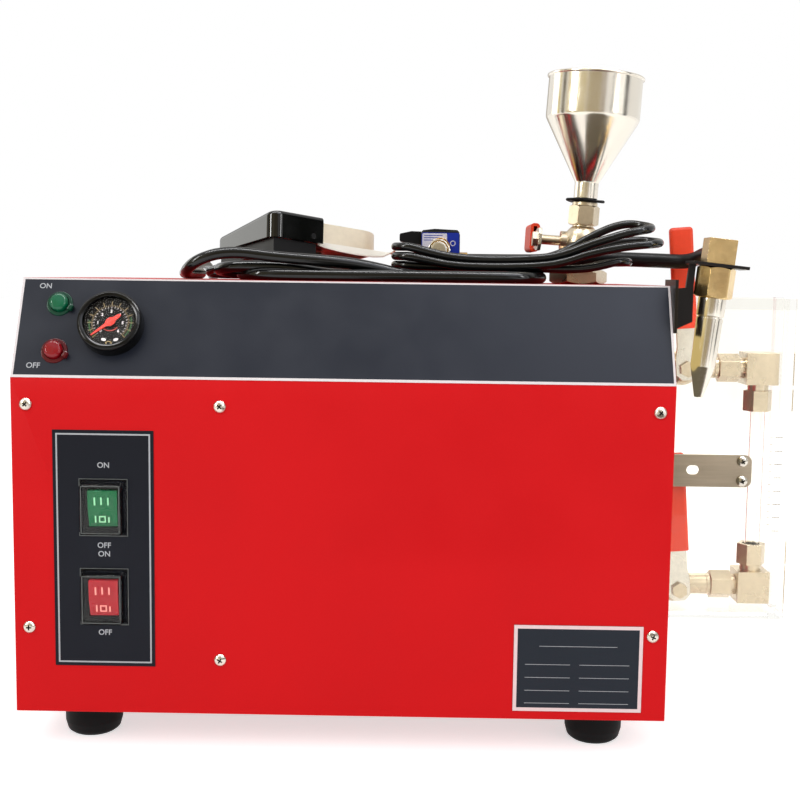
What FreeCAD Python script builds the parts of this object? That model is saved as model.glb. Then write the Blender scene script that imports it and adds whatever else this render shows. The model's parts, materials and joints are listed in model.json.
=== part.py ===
"""Jewelry steam cleaner: a bench-top boiler in a red sheet-steel cabinet, with a sloping console, a filling
funnel, a water-level gauge at its right side, a steam nozzle and a foot pedal.

Local cabinet coordinates: x from the cabinet's middle, y from its front face, z from the floor, all in mm.
Every sub-part is placed so that the whole stands on z = 0 about the middle of its outline.
"""
import FreeCAD
import Part
import Sketcher
import math
import os
import re
from FreeCAD import Matrix, Placement, Rotation, Vector

SIZES = {
    # cabinet
    "cabinet_length": 420, "cabinet_depth": 240, "cabinet_height": 280, "console_rise": 63,
    "console_tilt": 25.5, "sheet": 1.5, "return_width": 18, "tray_flange": 48, "tray_lip": 20,
    "post_gap": 7, "post_width": 18, "fit_gap": 0.1,
    # feet
    "foot_height": 26, "foot_radius": 17.5, "foot_tip_radius": 8.5, "foot_inset": 40, "foot_shoulder": 8,
    "foot_web": 12, "foot_recess": 6,
    # pan-head screws
    "screw_radius": 2, "screw_head_radius": 4, "screw_head_height": 2.6, "screw_length": 16,
    "screw_clearance": 0.3, "screw_slot": 1.1, "screw_slot_depth": 1.4, "strap_screw_length": 5.5,
    "cover_screw_inset": 9.5, "cover_screw_drop": 16.5, "cover_screw_low": 56,
    "middle_screw_inset": 132.5, "middle_screw_low": 36,
    # label plates
    "label_thickness": 0.4, "label_margin": 0.6,
    "switch_label_inset": 26, "switch_label_width": 64.5, "switch_label_low": 31,
    "switch_label_high": 184.5, "rating_inset": 15.5, "rating_width": 83, "rating_low": 5.5,
    "rating_high": 62.5,
    # boiler
    "boiler_inset": 98, "gear_y": 120, "boiler_radius": 82, "boiler_wall": 2, "boiler_base": 28,
    "boiler_top": 240, "boiler_knuckle": 12, "leg_radius": 68, "leg_wall": 4, "leg_gap": 70,
    "nipple_radius": 8, "nipple_bore": 4, "nipple_reach": 4, "port_clearance": 0.5,
    "steam_inset": 148, "steam_y": 136, "fill_inset": 47.5, "fill_nipple_radius": 12, "fill_bore": 6,
    "small_port_radius": 6, "small_port_reach": 10, "gauge_port_z": 215, "switch_port_z": 170,
    "safety_z": 200, "heater_radius": 30, "heater_hole": 21, "heater_flange": 5, "heater_tube": 3.5,
    "heater_span": 13, "heater_height": 70, "heater_spacing": 9,
    # pressure switch, safety valve and gauge pipe
    "switch_hex": 20, "switch_box_length": 40, "switch_box_width": 44, "switch_box_height": 52,
    "safety_hex": 20, "safety_hex_length": 10, "safety_radius": 7.5, "safety_length": 24,
    "rear_reach": 30, "pipe_radius": 3, "pipe_bend": 14,
    # pressure gauge
    "gauge_inset": 61.5, "gauge_s": 35.8, "gauge_radius": 20.5, "gauge_height": 11.5, "dial_radius": 17.5,
    "dial_depth": 5.5, "dial_thickness": 0.6, "lens_thickness": 1.2, "gauge_body_radius": 18,
    "gauge_body_depth": 20, "gauge_stem_hex": 10, "gauge_stem_length": 34,
    "pointer_length": 14, "pointer_tail": 6, "pointer_width": 2.2, "pointer_rest": 219,
    "pointer_thickness": 0.6, "pointer_lift": 0.8, "pointer_hub": 2, "pointer_axle": 0.8,
    "axle_clearance": 0.3, "pointer_sweep": 270,
    # push buttons
    "button_inset": 26, "button_on_s": 51.2, "button_off_s": 18.5, "button_radius": 5.9, "button_height": 6.1,
    "button_depth": 4, "button_travel": 3, "button_chamfer": 1.2, "button_clearance": 0.3,
    "bezel_radius": 7.6, "bezel_height": 1.4, "bezel_wall": 0.7, "bezel_depth": 14, "bezel_nut": 17,
    "bezel_nut_height": 4,
    # rocker switches
    "switch_inset": 58.4, "pedal_switch_z": 135, "power_switch_z": 77, "switch_flange_width": 25,
    "switch_flange_height": 31, "switch_flange_thickness": 2, "switch_body_width": 21.8,
    "switch_body_height": 27.8, "switch_body_depth": 18, "rocker_width": 18.8, "rocker_height": 23.6,
    "rocker_clearance": 0.3, "rocker_swing_room": 0.9, "rocker_tilt": 7, "rocker_pivot_depth": 1,
    "rocker_crest": 5.2, "rocker_edge": 4, "rocker_root": 4.5, "rocker_axle": 1.25, "bearing_gap": 0.1,
    "rocker_well": 10, "tab_thickness": 0.8, "tab_width": 6.3, "tab_length": 8, "tab_spacing": 8,
    "boot_width": 31, "boot_height": 37, "boot_lip": 1, "boot_step": 1.7, "boot_wall": 1,
    "boot_reach": 9.6,
    # ball valves
    "valve_ball": 9.6, "valve_seat": 9.9, "valve_sphere": 13.2, "valve_barrel": 10.5, "valve_neck": 7.5,
    "valve_hex": 24, "valve_hex_length": 9, "stem_radius": 3.5, "stem_clearance": 0.25,
    "packing_radius": 7, "packing_reach": 15.5, "lever_thickness": 2.5, "lever_hub": 8,
    "lever_width": 13, "lever_nut": 10, "lever_nut_height": 3.5, "sleeve_width": 16.4,
    "sleeve_thickness": 7, "sleeve_start": 29, "sleeve_cap": 3, "sleeve_round": 2.6,
    # filling stack
    "fill_lean": 3.5, "flange_nut": 36, "flange_nut_height": 10, "fill_valve_lift": 30,
    "fill_hex_reach": 19, "fill_neck_reach": 22, "fill_stem_reach": 29.5, "fill_lever_length": 74,
    "funnel_nut": 19, "funnel_nut_low": 42, "funnel_nut_high": 56, "funnel_collar": 9,
    "funnel_collar_height": 2.5, "gasket_radius": 14, "gasket_thickness": 2.5, "funnel_spigot": 5.9,
    "funnel_spigot_low": 52.5, "funnel_wall": 1, "funnel_neck": 8.5, "funnel_cone_low": 73,
    "funnel_cone_high": 117, "funnel_radius": 33.2, "funnel_high": 147, "funnel_rim": 1.1,
    # water-level gauge
    "level_valve_reach": 29, "level_low": 61, "level_high": 221, "level_hex_reach": 28.4,
    "level_neck_reach": 23, "level_stem_reach": 17.5, "level_lever_length": 100, "level_lever_lean": 4.6,
    "level_hex_nut": 18, "level_nut_start": 55, "level_nut_end": 70, "elbow_reach": 85, "elbow_size": 23,
    "gland_gap": 4.5, "gland_height": 15, "glass_radius": 6, "glass_bore": 4, "glass_seat": 8,
    # strap and guard
    "strap_front": 88.5, "strap_thickness": 1.5, "strap_low": 138.5, "strap_high": 161.5,
    "strap_reach": 74.5, "strap_foot": 27, "strap_round": 5, "strap_screw_reach": 67.8,
    "strap_screw_low": 143, "strap_screw_high": 157, "strap_slot_reach": 33, "strap_slot_z": 150.5,
    "strap_slot_length": 9, "strap_slot_height": 6.5, "wall_screw_y": 104, "wall_screw_spacing": 12,
    "guard_reach": 102, "guard_back": 140, "guard_low": 42.8, "guard_drop": 8, "guard_wall": 4,
    "guard_side_gap": 1.8, "lever_slot": 14,
    # nozzle
    "nozzle_reach": 29.8, "nozzle_y": 30, "nozzle_rise": 13.5, "nozzle_lean": 6, "shelf_length": 36,
    "shelf_depth": 24, "shelf_thickness": 2, "elbow_block_width": 18, "elbow_block_height": 16,
    "nozzle_thread": 6.9, "thread_clearance": 0.1, "nozzle_nut": 22, "nozzle_nut_height": 20,
    "nozzle_thread_length": 9, "nozzle_collar": 8.9, "nozzle_collar_length": 12, "nozzle_groove": 0.8,
    "nozzle_body_top": 8.6, "nozzle_body_low": 7.9, "nozzle_body_length": 32, "nozzle_tip": 2.7,
    "nozzle_cone_length": 20, "nozzle_bore": 1.2, "bracket_drop": 30, "bracket_rise": 4,
    "bracket_flange_depth": 32, "bracket_screw_rise": 7.5, "bracket_thickness": 2, "bracket_web": 3,
    "hose_radius": 5,
    "hose_bore": 3, "hose_port": 6, "hose_port_length": 6,
    # solenoid valve
    "solenoid_width": 26, "solenoid_depth": 28, "solenoid_low": 2, "solenoid_high": 34, "coil_width": 27,
    "coil_low": 12.5, "coil_high": 35.5, "coil_front": 84, "coil_back": 120, "armature_radius": 6.5,
    "armature_bore": 4.5, "plunger_radius": 4.2, "plunger_front": 88, "plunger_back": 118,
    "plunger_travel": 2, "coil_nut": 14, "coil_nut_height": 4, "outlet_height": 16, "outlet_reach": 8,
    "plug_block_width": 15, "plug_block_height": 7, "plug_block_depth": 16,
    # foot pedal
    "pedal_x": -53.5, "pedal_y": 76, "pedal_lift": 20.8, "pedal_yaw": 38, "pedal_tilt": 10.1,
    "pedal_length": 92, "pedal_width": 80, "pedal_cover_length": 42, "pedal_cover_low": 10.5,
    "pedal_cover_high": 29.2, "pedal_cover_back": 20.5, "pedal_cover_wall": 2, "pedal_cover_round": 8,
    "pedal_edge_round": 3, "sole_thickness": 2,
    "sole_inset": 3, "base_block_length": 38, "base_block_height": 10, "tread_left": 30,
    "tread_right": 98, "tread_inset": 4, "tread_low": 11, "tread_high": 25.7, "tread_back": 17.6,
    "tread_wall": 1.5,
    "tread_round": 18, "tread_pin_x": 34, "tread_pin_z": 14.5, "tread_pin_radius": 2, "tread_travel": 6,
    "tread_pin_clearance": 0.1, "spring_slack": 1, "spring_x": 62, "spring_radius": 6, "spring_wire": 1.2,
    "entry_u": 20, "entry_z": 6, "entry_radius": 4.6, "entry_length": 9,
    # cords
    "power_cord_diameter": 7.6, "pedal_cord_diameter": 5.6, "gland_z": 150, "power_gland_inset": 80,
    "pedal_gland_inset": 140, "gland_hex": 18, "gland_nut_height": 6, "gland_radius": 8,
    "gland_tail": 24, "gland_tip_wall": 1.6, "plug_width": 30, "plug_height": 21, "plug_length": 42,
    "plug_inset": 83, "plug_y": 170, "plug_pin_length": 18, "plug_pin_width": 6.4, "plug_pin_thickness": 1.6,
    "plug_pin_spacing": 13,
}

# places worked out from the sizes: from the left and right walls, the console's lower edge and the top
PLACES = {
    "post_height": "cabinet_height - console_rise - post_gap",
    "cover_screw_x": "cabinet_length / 2 - cover_screw_inset",
    "cover_screw_high": "cabinet_height - console_rise - cover_screw_drop",
    "middle_screw_x": "middle_screw_inset - cabinet_length / 2",
    "switch_label_left": "switch_label_inset - cabinet_length / 2",
    "switch_label_right": "switch_label_inset + switch_label_width - cabinet_length / 2",
    "switch_x": "switch_inset - cabinet_length / 2",
    "rating_left": "cabinet_length / 2 - rating_inset - rating_width",
    "rating_right": "cabinet_length / 2 - rating_inset",
    "boiler_x": "cabinet_length / 2 - boiler_inset",
    "steam_x": "cabinet_length / 2 - steam_inset",
    "fill_x": "cabinet_length / 2 - fill_inset",
    "gauge_x": "gauge_inset - cabinet_length / 2",
    "button_x": "button_inset - cabinet_length / 2",
    "level_valve_x": "cabinet_length / 2 + level_valve_reach",
    "level_nut_left": "cabinet_length / 2 + level_nut_start",
    "level_nut_right": "cabinet_length / 2 + level_nut_end",
    "elbow_x": "cabinet_length / 2 + elbow_reach",
    "strap_right": "cabinet_length / 2 + strap_reach",
    "strap_screw_x": "cabinet_length / 2 + strap_screw_reach",
    "strap_slot_x": "cabinet_length / 2 + strap_slot_reach",
    "guard_right": "cabinet_length / 2 + guard_reach",
    "guard_high": "cabinet_height - guard_drop",
    "nozzle_x": "cabinet_length / 2 + nozzle_reach",
    "nozzle_z": "cabinet_height + nozzle_rise",
    "bracket_flange_low": "cabinet_height - bracket_drop",
    "bracket_flange_high": "cabinet_height + bracket_rise",
    "power_gland_x": "power_gland_inset - cabinet_length / 2",
    "pedal_gland_x": "cabinet_length / 2 - pedal_gland_inset",
    "plug_x": "cabinet_length / 2 - plug_inset",
}

doc = FreeCAD.newDocument("SteamCleaner")
sheet = doc.addObject("Spreadsheet::Sheet", "Sizes")
CELLS = {**SIZES, **{alias: f"={text}" for alias, text in PLACES.items()}}
for row, (alias, value) in enumerate(CELLS.items(), 1):
    sheet.set(f"A{row}", alias)
    sheet.set(f"B{row}", str(value))
    sheet.setAlias(f"B{row}", alias)
doc.recompute()

# places that many pieces share, as formulas of the sheet's cells
HALF = "(cabinet_length / 2)"
TOP = "(foot_height + cabinet_height)"
CORNER = "(foot_height + cabinet_height - console_rise)"
SETBACK = "(console_rise * tan(console_tilt))"
SLOPE = "(console_rise / cos(console_tilt))"
SHIFT_X = "((cabinet_length / 2 - guard_right) / 2)"
SHIFT_Y = "((boot_reach + label_thickness - cabinet_depth - rear_reach) / 2)"
BOILER_LOW = "(foot_height + boiler_base)"
BOILER_HIGH = "(foot_height + boiler_top)"
STRAP_BACK = "(strap_front + strap_thickness)"

TURNS = {
    "z": Rotation(),
    "-z": Rotation(Vector(1, 0, 0), 180),
    "x": Rotation(Vector(0, 1, 0), 90),
    "-x": Rotation(Vector(0, 1, 0), -90),
    "y": Rotation(Vector(1, 0, 0), -90),
    "-y": Rotation(Vector(1, 0, 0), 90),
}

# the back faces of the cords' hanks
POWER_HANK_BACK = 91
PEDAL_HANK_BACK = 79

sub_parts = []


def size(alias):
    """A cell's value."""
    return float(sheet.get(alias))


def formula(text):
    """Point every size named in a formula at its cell."""
    return re.sub(r"[a-z]\w*", lambda word: "Sizes." * (word.group() in CELLS) + word.group(), str(text))


def bind(piece, cells):
    """Drive properties of a piece by formulas."""
    for name, text in cells.items():
        piece.setExpression(name, formula(text))
    return piece


def stand(piece, x, y, z, axis="z"):
    """Put a piece's own origin at a place, with its own z along an axis."""
    piece.Placement = Placement(Vector(), TURNS[axis])
    return bind(piece, {"Placement.Base.x": x, "Placement.Base.y": y, "Placement.Base.z": z})


def on_console(piece, x, s, n):
    """Stand a piece on the sloping console: s up the slope from its lower edge, n outwards."""
    piece.Placement = Placement(Vector(), Rotation(Vector(1, 0, 0), 60))
    return bind(piece, {
        "Placement.Rotation.Angle": "90 - console_tilt",
        "Placement.Base.x": x,
        "Placement.Base.y": f"({s}) * sin(console_tilt) - ({n}) * cos(console_tilt)",
        "Placement.Base.z": f"{CORNER} + ({s}) * cos(console_tilt) + ({n}) * sin(console_tilt)",
    })


def box(x, y, z):
    """A block between the low and high values of x, y and z."""
    piece = doc.addObject("Part::Box", "Block")
    bind(piece, {
        "Length": f"({x[1]}) - ({x[0]})",
        "Width": f"({y[1]}) - ({y[0]})",
        "Height": f"({z[1]}) - ({z[0]})",
    })
    return stand(piece, x[0], y[0], z[0])


def centred_box(width, depth, height, x, y, z):
    """A block whose x and y are centred and whose z starts at z."""
    return box((f"{x} - ({width}) / 2", f"{x} + ({width}) / 2"),
               (f"{y} - ({depth}) / 2", f"{y} + ({depth}) / 2"), (z, f"{z} + ({height})"))


def rod(radius, length, x, y, z, axis="z"):
    """A cylinder that starts at a place and runs along an axis."""
    piece = doc.addObject("Part::Cylinder", "Rod")
    bind(piece, {"Radius": radius, "Height": length})
    return stand(piece, x, y, z, axis)


def cone(radius, end_radius, length, x, y, z, axis="z"):
    """A cone frustum that starts at a place and runs along an axis."""
    piece = doc.addObject("Part::Cone", "Taper")
    bind(piece, {"Radius1": radius, "Radius2": end_radius, "Height": length})
    return stand(piece, x, y, z, axis)


def hexagon(across_flats, length, x, y, z, axis="z"):
    """A hexagonal prism that starts at a place and runs along an axis."""
    piece = doc.addObject("Part::Prism", "Hexagon")
    piece.Polygon = 6
    bind(piece, {"Circumradius": f"({across_flats}) / sqrt(3)", "Height": length})
    return stand(piece, x, y, z, axis)


def ball(radius, x, y, z):
    """A sphere about a place."""
    piece = doc.addObject("Part::Sphere", "Ball")
    bind(piece, {"Radius": radius})
    return stand(piece, x, y, z)


def cut(base, *tools):
    """The base without the tools."""
    piece = doc.addObject("Part::Cut", "Cut")
    piece.Base = base
    piece.Tool = tools[0] if len(tools) == 1 else fuse(*tools)
    return piece


def fuse(*pieces):
    """Pieces welded into one."""
    piece = doc.addObject("Part::MultiFuse", "Fuse")
    piece.Shapes = list(pieces)
    piece.Refine = True
    return piece


def group(*pieces):
    """Separate solids that share a name."""
    piece = doc.addObject("Part::Compound", "Group")
    piece.Links = list(pieces)
    return piece


def outline(body, plane, points):
    """A closed sketch through points, each held by its two distances from the plane's origin."""
    sketch = body.newObject("Sketcher::SketchObject", "Outline")
    planes = [item for item in body.Origin.OriginFeatures if item.Role == plane]
    sketch.AttachmentSupport = (planes[0], [""])
    sketch.MapMode = "FlatFace"
    count = len(points)
    start = [Vector(math.cos(math.tau * i / count), math.sin(math.tau * i / count), 0) for i in range(count)]
    for i in range(count):
        sketch.addGeometry(Part.LineSegment(start[i], start[(i + 1) % count]), False)
    for i in range(count):
        sketch.addConstraint(Sketcher.Constraint("Coincident", i, 2, (i + 1) % count, 1))
    for i, point in enumerate(points):
        for kind, text in zip(("DistanceX", "DistanceY"), point):
            index = sketch.addConstraint(Sketcher.Constraint(kind, -1, 1, i, 1, 1.0))
            sketch.setExpression(f"Constraints[{index}]", formula(text))
    return sketch


def padded(plane, points, low, high):
    """A prism of a flat outline, from low to high along the plane's own axis."""
    body = doc.addObject("PartDesign::Body", "Prism")
    pad = body.newObject("PartDesign::Pad", "Pad")
    pad.Profile = outline(body, plane, points)
    pad.Reversed = plane == "XZ_Plane"
    bind(pad, {"Length": f"({high}) - ({low})"})
    axis = {"XY_Plane": "z", "XZ_Plane": "y", "YZ_Plane": "x"}[plane]
    return bind(body, {f"Placement.Base.{axis}": low})


def turned(points, x="0", y="0", z="0"):
    """A solid of revolution about z, from an outline of radius and height."""
    body = doc.addObject("PartDesign::Body", "Turned")
    sketch = outline(body, "XZ_Plane", points)
    turn = body.newObject("PartDesign::Revolution", "Revolution")
    turn.Profile = sketch
    turn.ReferenceAxis = (sketch, ["V_Axis"])
    turn.Angle = 360
    return stand(body, x, y, z)


def rounded(base, radius, wanted):
    """The base with each edge that is wanted rounded off."""
    doc.recompute()
    piece = doc.addObject("Part::Fillet", "Rounded")
    piece.Base = base
    edges = base.Shape.Edges
    piece.Edges = [(i + 1, radius, radius) for i, edge in enumerate(edges) if wanted(edge)]
    return piece


def along(edge, axis):
    """Whether an edge is straight and runs along x, y or z."""
    if edge.Curve.TypeId != "Part::GeomLine":
        return False
    return abs(edge.tangentAt(edge.FirstParameter).dot(axis)) > 0.999


def columns(first, second, third):
    """The rotation that takes x, y and z to three directions."""
    rows = [[first[i], second[i], third[i], 0.0] for i in range(3)]
    return Rotation(Matrix(*rows[0], *rows[1], *rows[2], 0, 0, 0, 1))


def sub_part(label, piece, origin=("0", "0", "0"), rotation=None):
    """Name a sub-part and place it: its local origin lies at a place in the cabinet's coordinates."""
    piece.Label = label
    piece.Placement = Placement(Vector(), rotation or Rotation())
    bind(piece, {
        "Placement.Base.x": f"{SHIFT_X} + ({origin[0]})",
        "Placement.Base.y": f"{SHIFT_Y} + ({origin[1]})",
        "Placement.Base.z": f"({origin[2]})",
    })
    sub_parts.append(piece)
    return piece


def console_part(label, piece):
    """Name a sub-part that is drawn in the console's frame: x, up the slope, outwards."""
    return sub_part(label, piece, ("0", "0", CORNER), Rotation(Vector(1, 0, 0), 90 - size("console_tilt")))


def tube(points, radius, bend=None, bore=None):
    """A tube along straight runs joined by tangent arcs. Without a bend, each arc is as large as fits."""
    edges = []
    radii = []
    last = points[0]
    for before, corner, after in zip(points, points[1:], points[2:]):
        run_in = corner - before
        run_out = after - corner
        turn = run_in.getAngle(run_out)
        reach = 0.45 * min(run_in.Length, run_out.Length)
        if bend:
            reach = min(reach, bend * math.tan(turn / 2))
        radii.append(reach / math.tan(turn / 2))
        back = run_in.normalize()
        ahead = run_out.normalize()
        start = corner - back * reach
        end = corner + ahead * reach
        middle = corner + (ahead - back).normalize() * radii[-1] * (1 / math.cos(turn / 2) - 1)
        edges.append(Part.LineSegment(last, start).toShape())
        edges.append(Part.Arc(start, middle, end).toShape())
        last = end
    edges.append(Part.LineSegment(last, points[-1]).toShape())
    path = Part.Wire(edges)
    heading = points[1] - points[0]
    shape = None
    for ring_radius in (radius, bore):
        if ring_radius:
            ring = Part.Wire(Part.Circle(points[0], heading, ring_radius).toShape())
            solid = path.makePipeShell([ring], True, False)
            shape = solid if shape is None else shape.cut(solid)
    return shape, radii, path.Length


def tube_part(label, routes, radius, bend=None, bore=None):
    """A sub-part of tubes along routes, each a list of points in the cabinet's coordinates."""
    solids = []
    for route in routes:
        solid, radii, length = tube([Vector(*point) for point in route], radius, bend, bore)
        section = math.pi * (radius ** 2 - (bore or 0) ** 2)
        print(f"{label}: length {length:.0f}, radii {min(radii):.0f} to {max(radii):.0f}, "
              f"volume {solid.Volume / (section * length):.4f} of section times length")
        solids.append(solid)
    piece = doc.addObject("Part::Feature", "Tube")
    piece.Shape = Part.makeCompound(solids) if len(solids) > 1 else solids[0]
    return sub_part(label, piece)


# --- cabinet --------------------------------------------------------------------------------------

FOOT_PLACES = [(f"{side} * ({HALF} - foot_inset)", y)
               for side in (-1, 1) for y in ("foot_inset", "cabinet_depth - foot_inset")]
COVER_SCREWS = [(f"{side} * cover_screw_x", f"foot_height + {z}")
                for side in (-1, 1) for z in ("cover_screw_high", "cover_screw_low")]
COVER_SCREWS += [("middle_screw_x", f"foot_height + {z}") for z in ("cover_screw_high", "middle_screw_low")]
WALL_SCREWS = [f"foot_height + (strap_low + strap_high) / 2 + {side} * wall_screw_spacing / 2"
               for side in (-1, 1)]
BRACKET_MIDDLE = "foot_height + (bracket_flange_low + bracket_flange_high) / 2"
BRACKET_SCREWS = [("nozzle_y + bracket_flange_depth / 4", f"{BRACKET_MIDDLE} + {side} * bracket_screw_rise")
                  for side in (-1, 1)]
STRAP_SCREWS = ["foot_height + strap_screw_low", "foot_height + strap_screw_high"]
SWITCHES = ["foot_height + pedal_switch_z", "foot_height + power_switch_z"]
BUTTONS = ["button_on_s", "button_off_s"]
LEVELS = ["foot_height + level_low", "foot_height + level_high"]


def base_tray():
    edge = f"{HALF} - sheet"
    floor = box((f"-({edge})", edge), ("sheet", "cabinet_depth - sheet"),
                ("foot_height", "foot_height + sheet"))
    lip = "foot_height + tray_lip"
    inner = f"{edge} - return_width - fit_gap"
    front = box((f"-({inner})", inner), ("sheet", "2 * sheet"), ("foot_height", "foot_height + tray_flange"))
    back = box((f"-({edge})", edge), ("cabinet_depth - 2 * sheet", "cabinet_depth - sheet"),
               ("foot_height", lip))
    start = ("2 * sheet + fit_gap", "cabinet_depth - sheet")
    left = box((f"-({edge})", f"sheet - ({edge})"), start, ("foot_height", lip))
    right = box((f"{edge} - sheet", edge), start, ("foot_height", lip))
    post = centred_box("post_width", "sheet", "post_height", "middle_screw_x", "1.5 * sheet", "foot_height")
    legs = boiler_legs()
    holes = [rod("screw_radius", "3 * sheet", x, y, "foot_height - sheet") for x, y in FOOT_PLACES]
    holes += [rod("screw_radius", "4 * sheet", x, "0", z, "y") for x, z in COVER_SCREWS[4:]]
    return sub_part("base_tray", cut(fuse(floor, front, back, left, right, post, legs), *holes))


def boiler_legs():
    """The ring under the boiler, open at its four sides."""
    height = "boiler_base - sheet"
    low = "foot_height + sheet"
    ring = rod("leg_radius", height, "boiler_x", "gear_y", low)
    hollow = rod("leg_radius - leg_wall", height, "boiler_x", "gear_y", low)
    wide = centred_box("3 * leg_radius", "leg_gap", height, "boiler_x", "gear_y", low)
    deep = centred_box("leg_gap", "3 * leg_radius", height, "boiler_x", "gear_y", low)
    return cut(ring, hollow, wide, deep)


def cabinet_shell():
    hull = padded("YZ_Plane", [("0", "foot_height"), ("0", CORNER), (SETBACK, TOP), ("cabinet_depth", TOP),
                               ("cabinet_depth", "foot_height")], f"-{HALF}", HALF)
    room = box((f"sheet - {HALF}", f"{HALF} - sheet"), ("-sheet", "cabinet_depth - sheet"),
               ("foot_height - sheet", f"{TOP} - sheet"))
    inner_top = f"{SETBACK} + sheet / cos(console_tilt)"
    ahead = padded("YZ_Plane", [("-sheet", "foot_height - sheet"), ("sheet", "foot_height - sheet"),
                                ("sheet", f"{CORNER} - sheet * tan(console_tilt / 2)"),
                                (inner_top, TOP), (inner_top, f"{TOP} + sheet"),
                                ("-sheet", f"{TOP} + sheet")], f"-{HALF} - sheet", f"{HALF} + sheet")
    flange_z = ("foot_height + sheet + fit_gap", f"{CORNER} - 2 * sheet")
    flanges = [box((f"sheet - {HALF}", f"sheet - {HALF} + return_width"), ("sheet", "2 * sheet"), flange_z),
               box((f"{HALF} - sheet - return_width", f"{HALF} - sheet"), ("sheet", "2 * sheet"), flange_z)]
    holes = [rod("screw_radius", "4 * sheet", x, "0", z, "y") for x, z in COVER_SCREWS[:4]]
    wall = f"{HALF} - 2 * sheet"
    port = "nipple_radius + port_clearance"
    holes += [rod(port, "4 * sheet", wall, "gear_y", z, "x") for z in LEVELS]
    holes += [rod("screw_radius", "4 * sheet", wall, "wall_screw_y", z, "x") for z in WALL_SCREWS]
    holes += [rod("screw_radius", "4 * sheet", wall, y, z, "x") for y, z in BRACKET_SCREWS]
    roof = f"{TOP} - 2 * sheet"
    holes += [rod(port, "4 * sheet", "steam_x", "steam_y", roof),
              rod("fill_nipple_radius + port_clearance", "4 * sheet", "fill_x", "gear_y", roof)]
    back = "cabinet_depth - 2 * sheet"
    holes += [rod(port, "4 * sheet", "boiler_x", back, "foot_height + safety_z", "y")]
    holes += [rod("gland_radius + port_clearance", "4 * sheet", x, back, "foot_height + gland_z", "y")
              for x in ("power_gland_x", "pedal_gland_x")]
    return sub_part("cabinet_shell", cut(fuse(cut(hull, room, ahead), *flanges), *holes))


def front_panel():
    panel = padded("YZ_Plane", [("0", "foot_height"), ("0", CORNER), (SETBACK, TOP),
                                (f"{SETBACK} + sheet / cos(console_tilt)", TOP),
                                ("sheet", f"{CORNER} - sheet * tan(console_tilt / 2)"),
                                ("sheet", "foot_height")], f"-{HALF}", HALF)
    holes = [rod("screw_radius + screw_clearance", "4 * sheet", x, "-sheet", z, "y") for x, z in COVER_SCREWS]
    holes += [switch_opening(z) for z in SWITCHES]
    depth = "-3 * sheet"
    holes += [on_console(rod("gauge_body_radius + port_clearance", "6 * sheet", "0", "0", "0"),
                         "gauge_x", "gauge_s", depth)]
    holes += [on_console(rod(f"{BEZEL_BODY} + fit_gap", "6 * sheet", "0", "0", "0"), "button_x", s, depth)
              for s in BUTTONS]
    return sub_part("front_panel", cut(panel, *holes))


def switch_opening(z):
    """The cut-out that a rocker switch's body goes through."""
    return box((f"switch_x - switch_body_width / 2 - fit_gap", "switch_x + switch_body_width / 2 + fit_gap"),
               ("-3 * sheet", "3 * sheet"),
               (f"{z} - switch_body_height / 2 - fit_gap", f"{z} + switch_body_height / 2 + fit_gap"))


BEZEL_BODY = "(button_radius + button_clearance + bezel_wall)"


def labels():
    """The printed plates: over the console, round the switches, and the rating plate."""
    edge = f"({HALF} - label_margin)"
    face = box((f"-{edge}", edge), ("label_margin", f"{SLOPE} - label_margin"), ("0", "label_thickness"))
    holes = [rod("gauge_body_radius + port_clearance", "2 * label_thickness", "gauge_x", "gauge_s", "0")]
    holes += [rod(f"{BEZEL_BODY} + fit_gap", "2 * label_thickness", "button_x", s, "0") for s in BUTTONS]
    console_part("console_label", cut(face, *holes))
    depth = ("-label_thickness", "0")
    plate = box(("switch_label_left", "switch_label_right"), depth,
                ("foot_height + switch_label_low", "foot_height + switch_label_high"))
    sub_part("switch_label", cut(plate, *[switch_opening(z) for z in SWITCHES]))
    rating = box(("rating_left", "rating_right"), depth,
                 ("foot_height + rating_low", "foot_height + rating_high"))
    sub_part("rating_plate", group(rating))


def pan_screw(x, y, z, axis, length="screw_length"):
    """A cross-head screw: the underside of its head is at the place, and the head points along the axis."""
    head = rod("screw_head_radius", "screw_head_height / 2", "0", "0", "0")
    crown = cone("screw_head_radius", "0.7 * screw_head_radius", "screw_head_height / 2",
                 "0", "0", "screw_head_height / 2")
    shank = rod("screw_radius", length, "0", "0", f"-({length})")
    low = "screw_head_height - screw_slot_depth"
    bars = [centred_box("screw_head_radius", "screw_slot", "2 * screw_slot_depth", "0", "0", low),
            centred_box("screw_slot", "screw_head_radius", "2 * screw_slot_depth", "0", "0", low)]
    return stand(cut(fuse(head, crown, shank), *bars), x, y, z, axis)


def panel_screws():
    screws = [pan_screw(x, "0", z, "-y") for x, z in COVER_SCREWS]
    screws += [pan_screw(x, y, "foot_height - foot_web", "-z") for x, y in FOOT_PLACES]
    screws += [pan_screw(f"{HALF} + strap_thickness", "wall_screw_y", z, "x") for z in WALL_SCREWS]
    screws += [pan_screw(f"{HALF} + bracket_thickness", y, z, "x") for y, z in BRACKET_SCREWS]
    screws += [pan_screw("strap_screw_x", "strap_front", z, "-y", "strap_screw_length")
               for z in STRAP_SCREWS]
    sub_part("panel_screws", group(*screws))


def rubber_feet():
    profile = [("screw_radius + fit_gap", "foot_height"), ("foot_radius", "foot_height"),
               ("foot_radius", "foot_height - foot_shoulder"), ("0.9 * foot_radius", "0.35 * foot_height"),
               ("0.75 * foot_radius", "0.12 * foot_height"), ("foot_tip_radius", "0"), ("foot_recess", "0"),
               ("foot_recess", "foot_height - foot_web"),
               ("screw_radius + fit_gap", "foot_height - foot_web")]
    sub_part("rubber_feet", group(*[turned(profile, x, y) for x, y in FOOT_PLACES]))


# --- boiler ---------------------------------------------------------------------------------------

BOILER_LEFT = "(boiler_x - boiler_radius)"
PORT_END = f"({BOILER_LEFT} - small_port_reach)"


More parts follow.
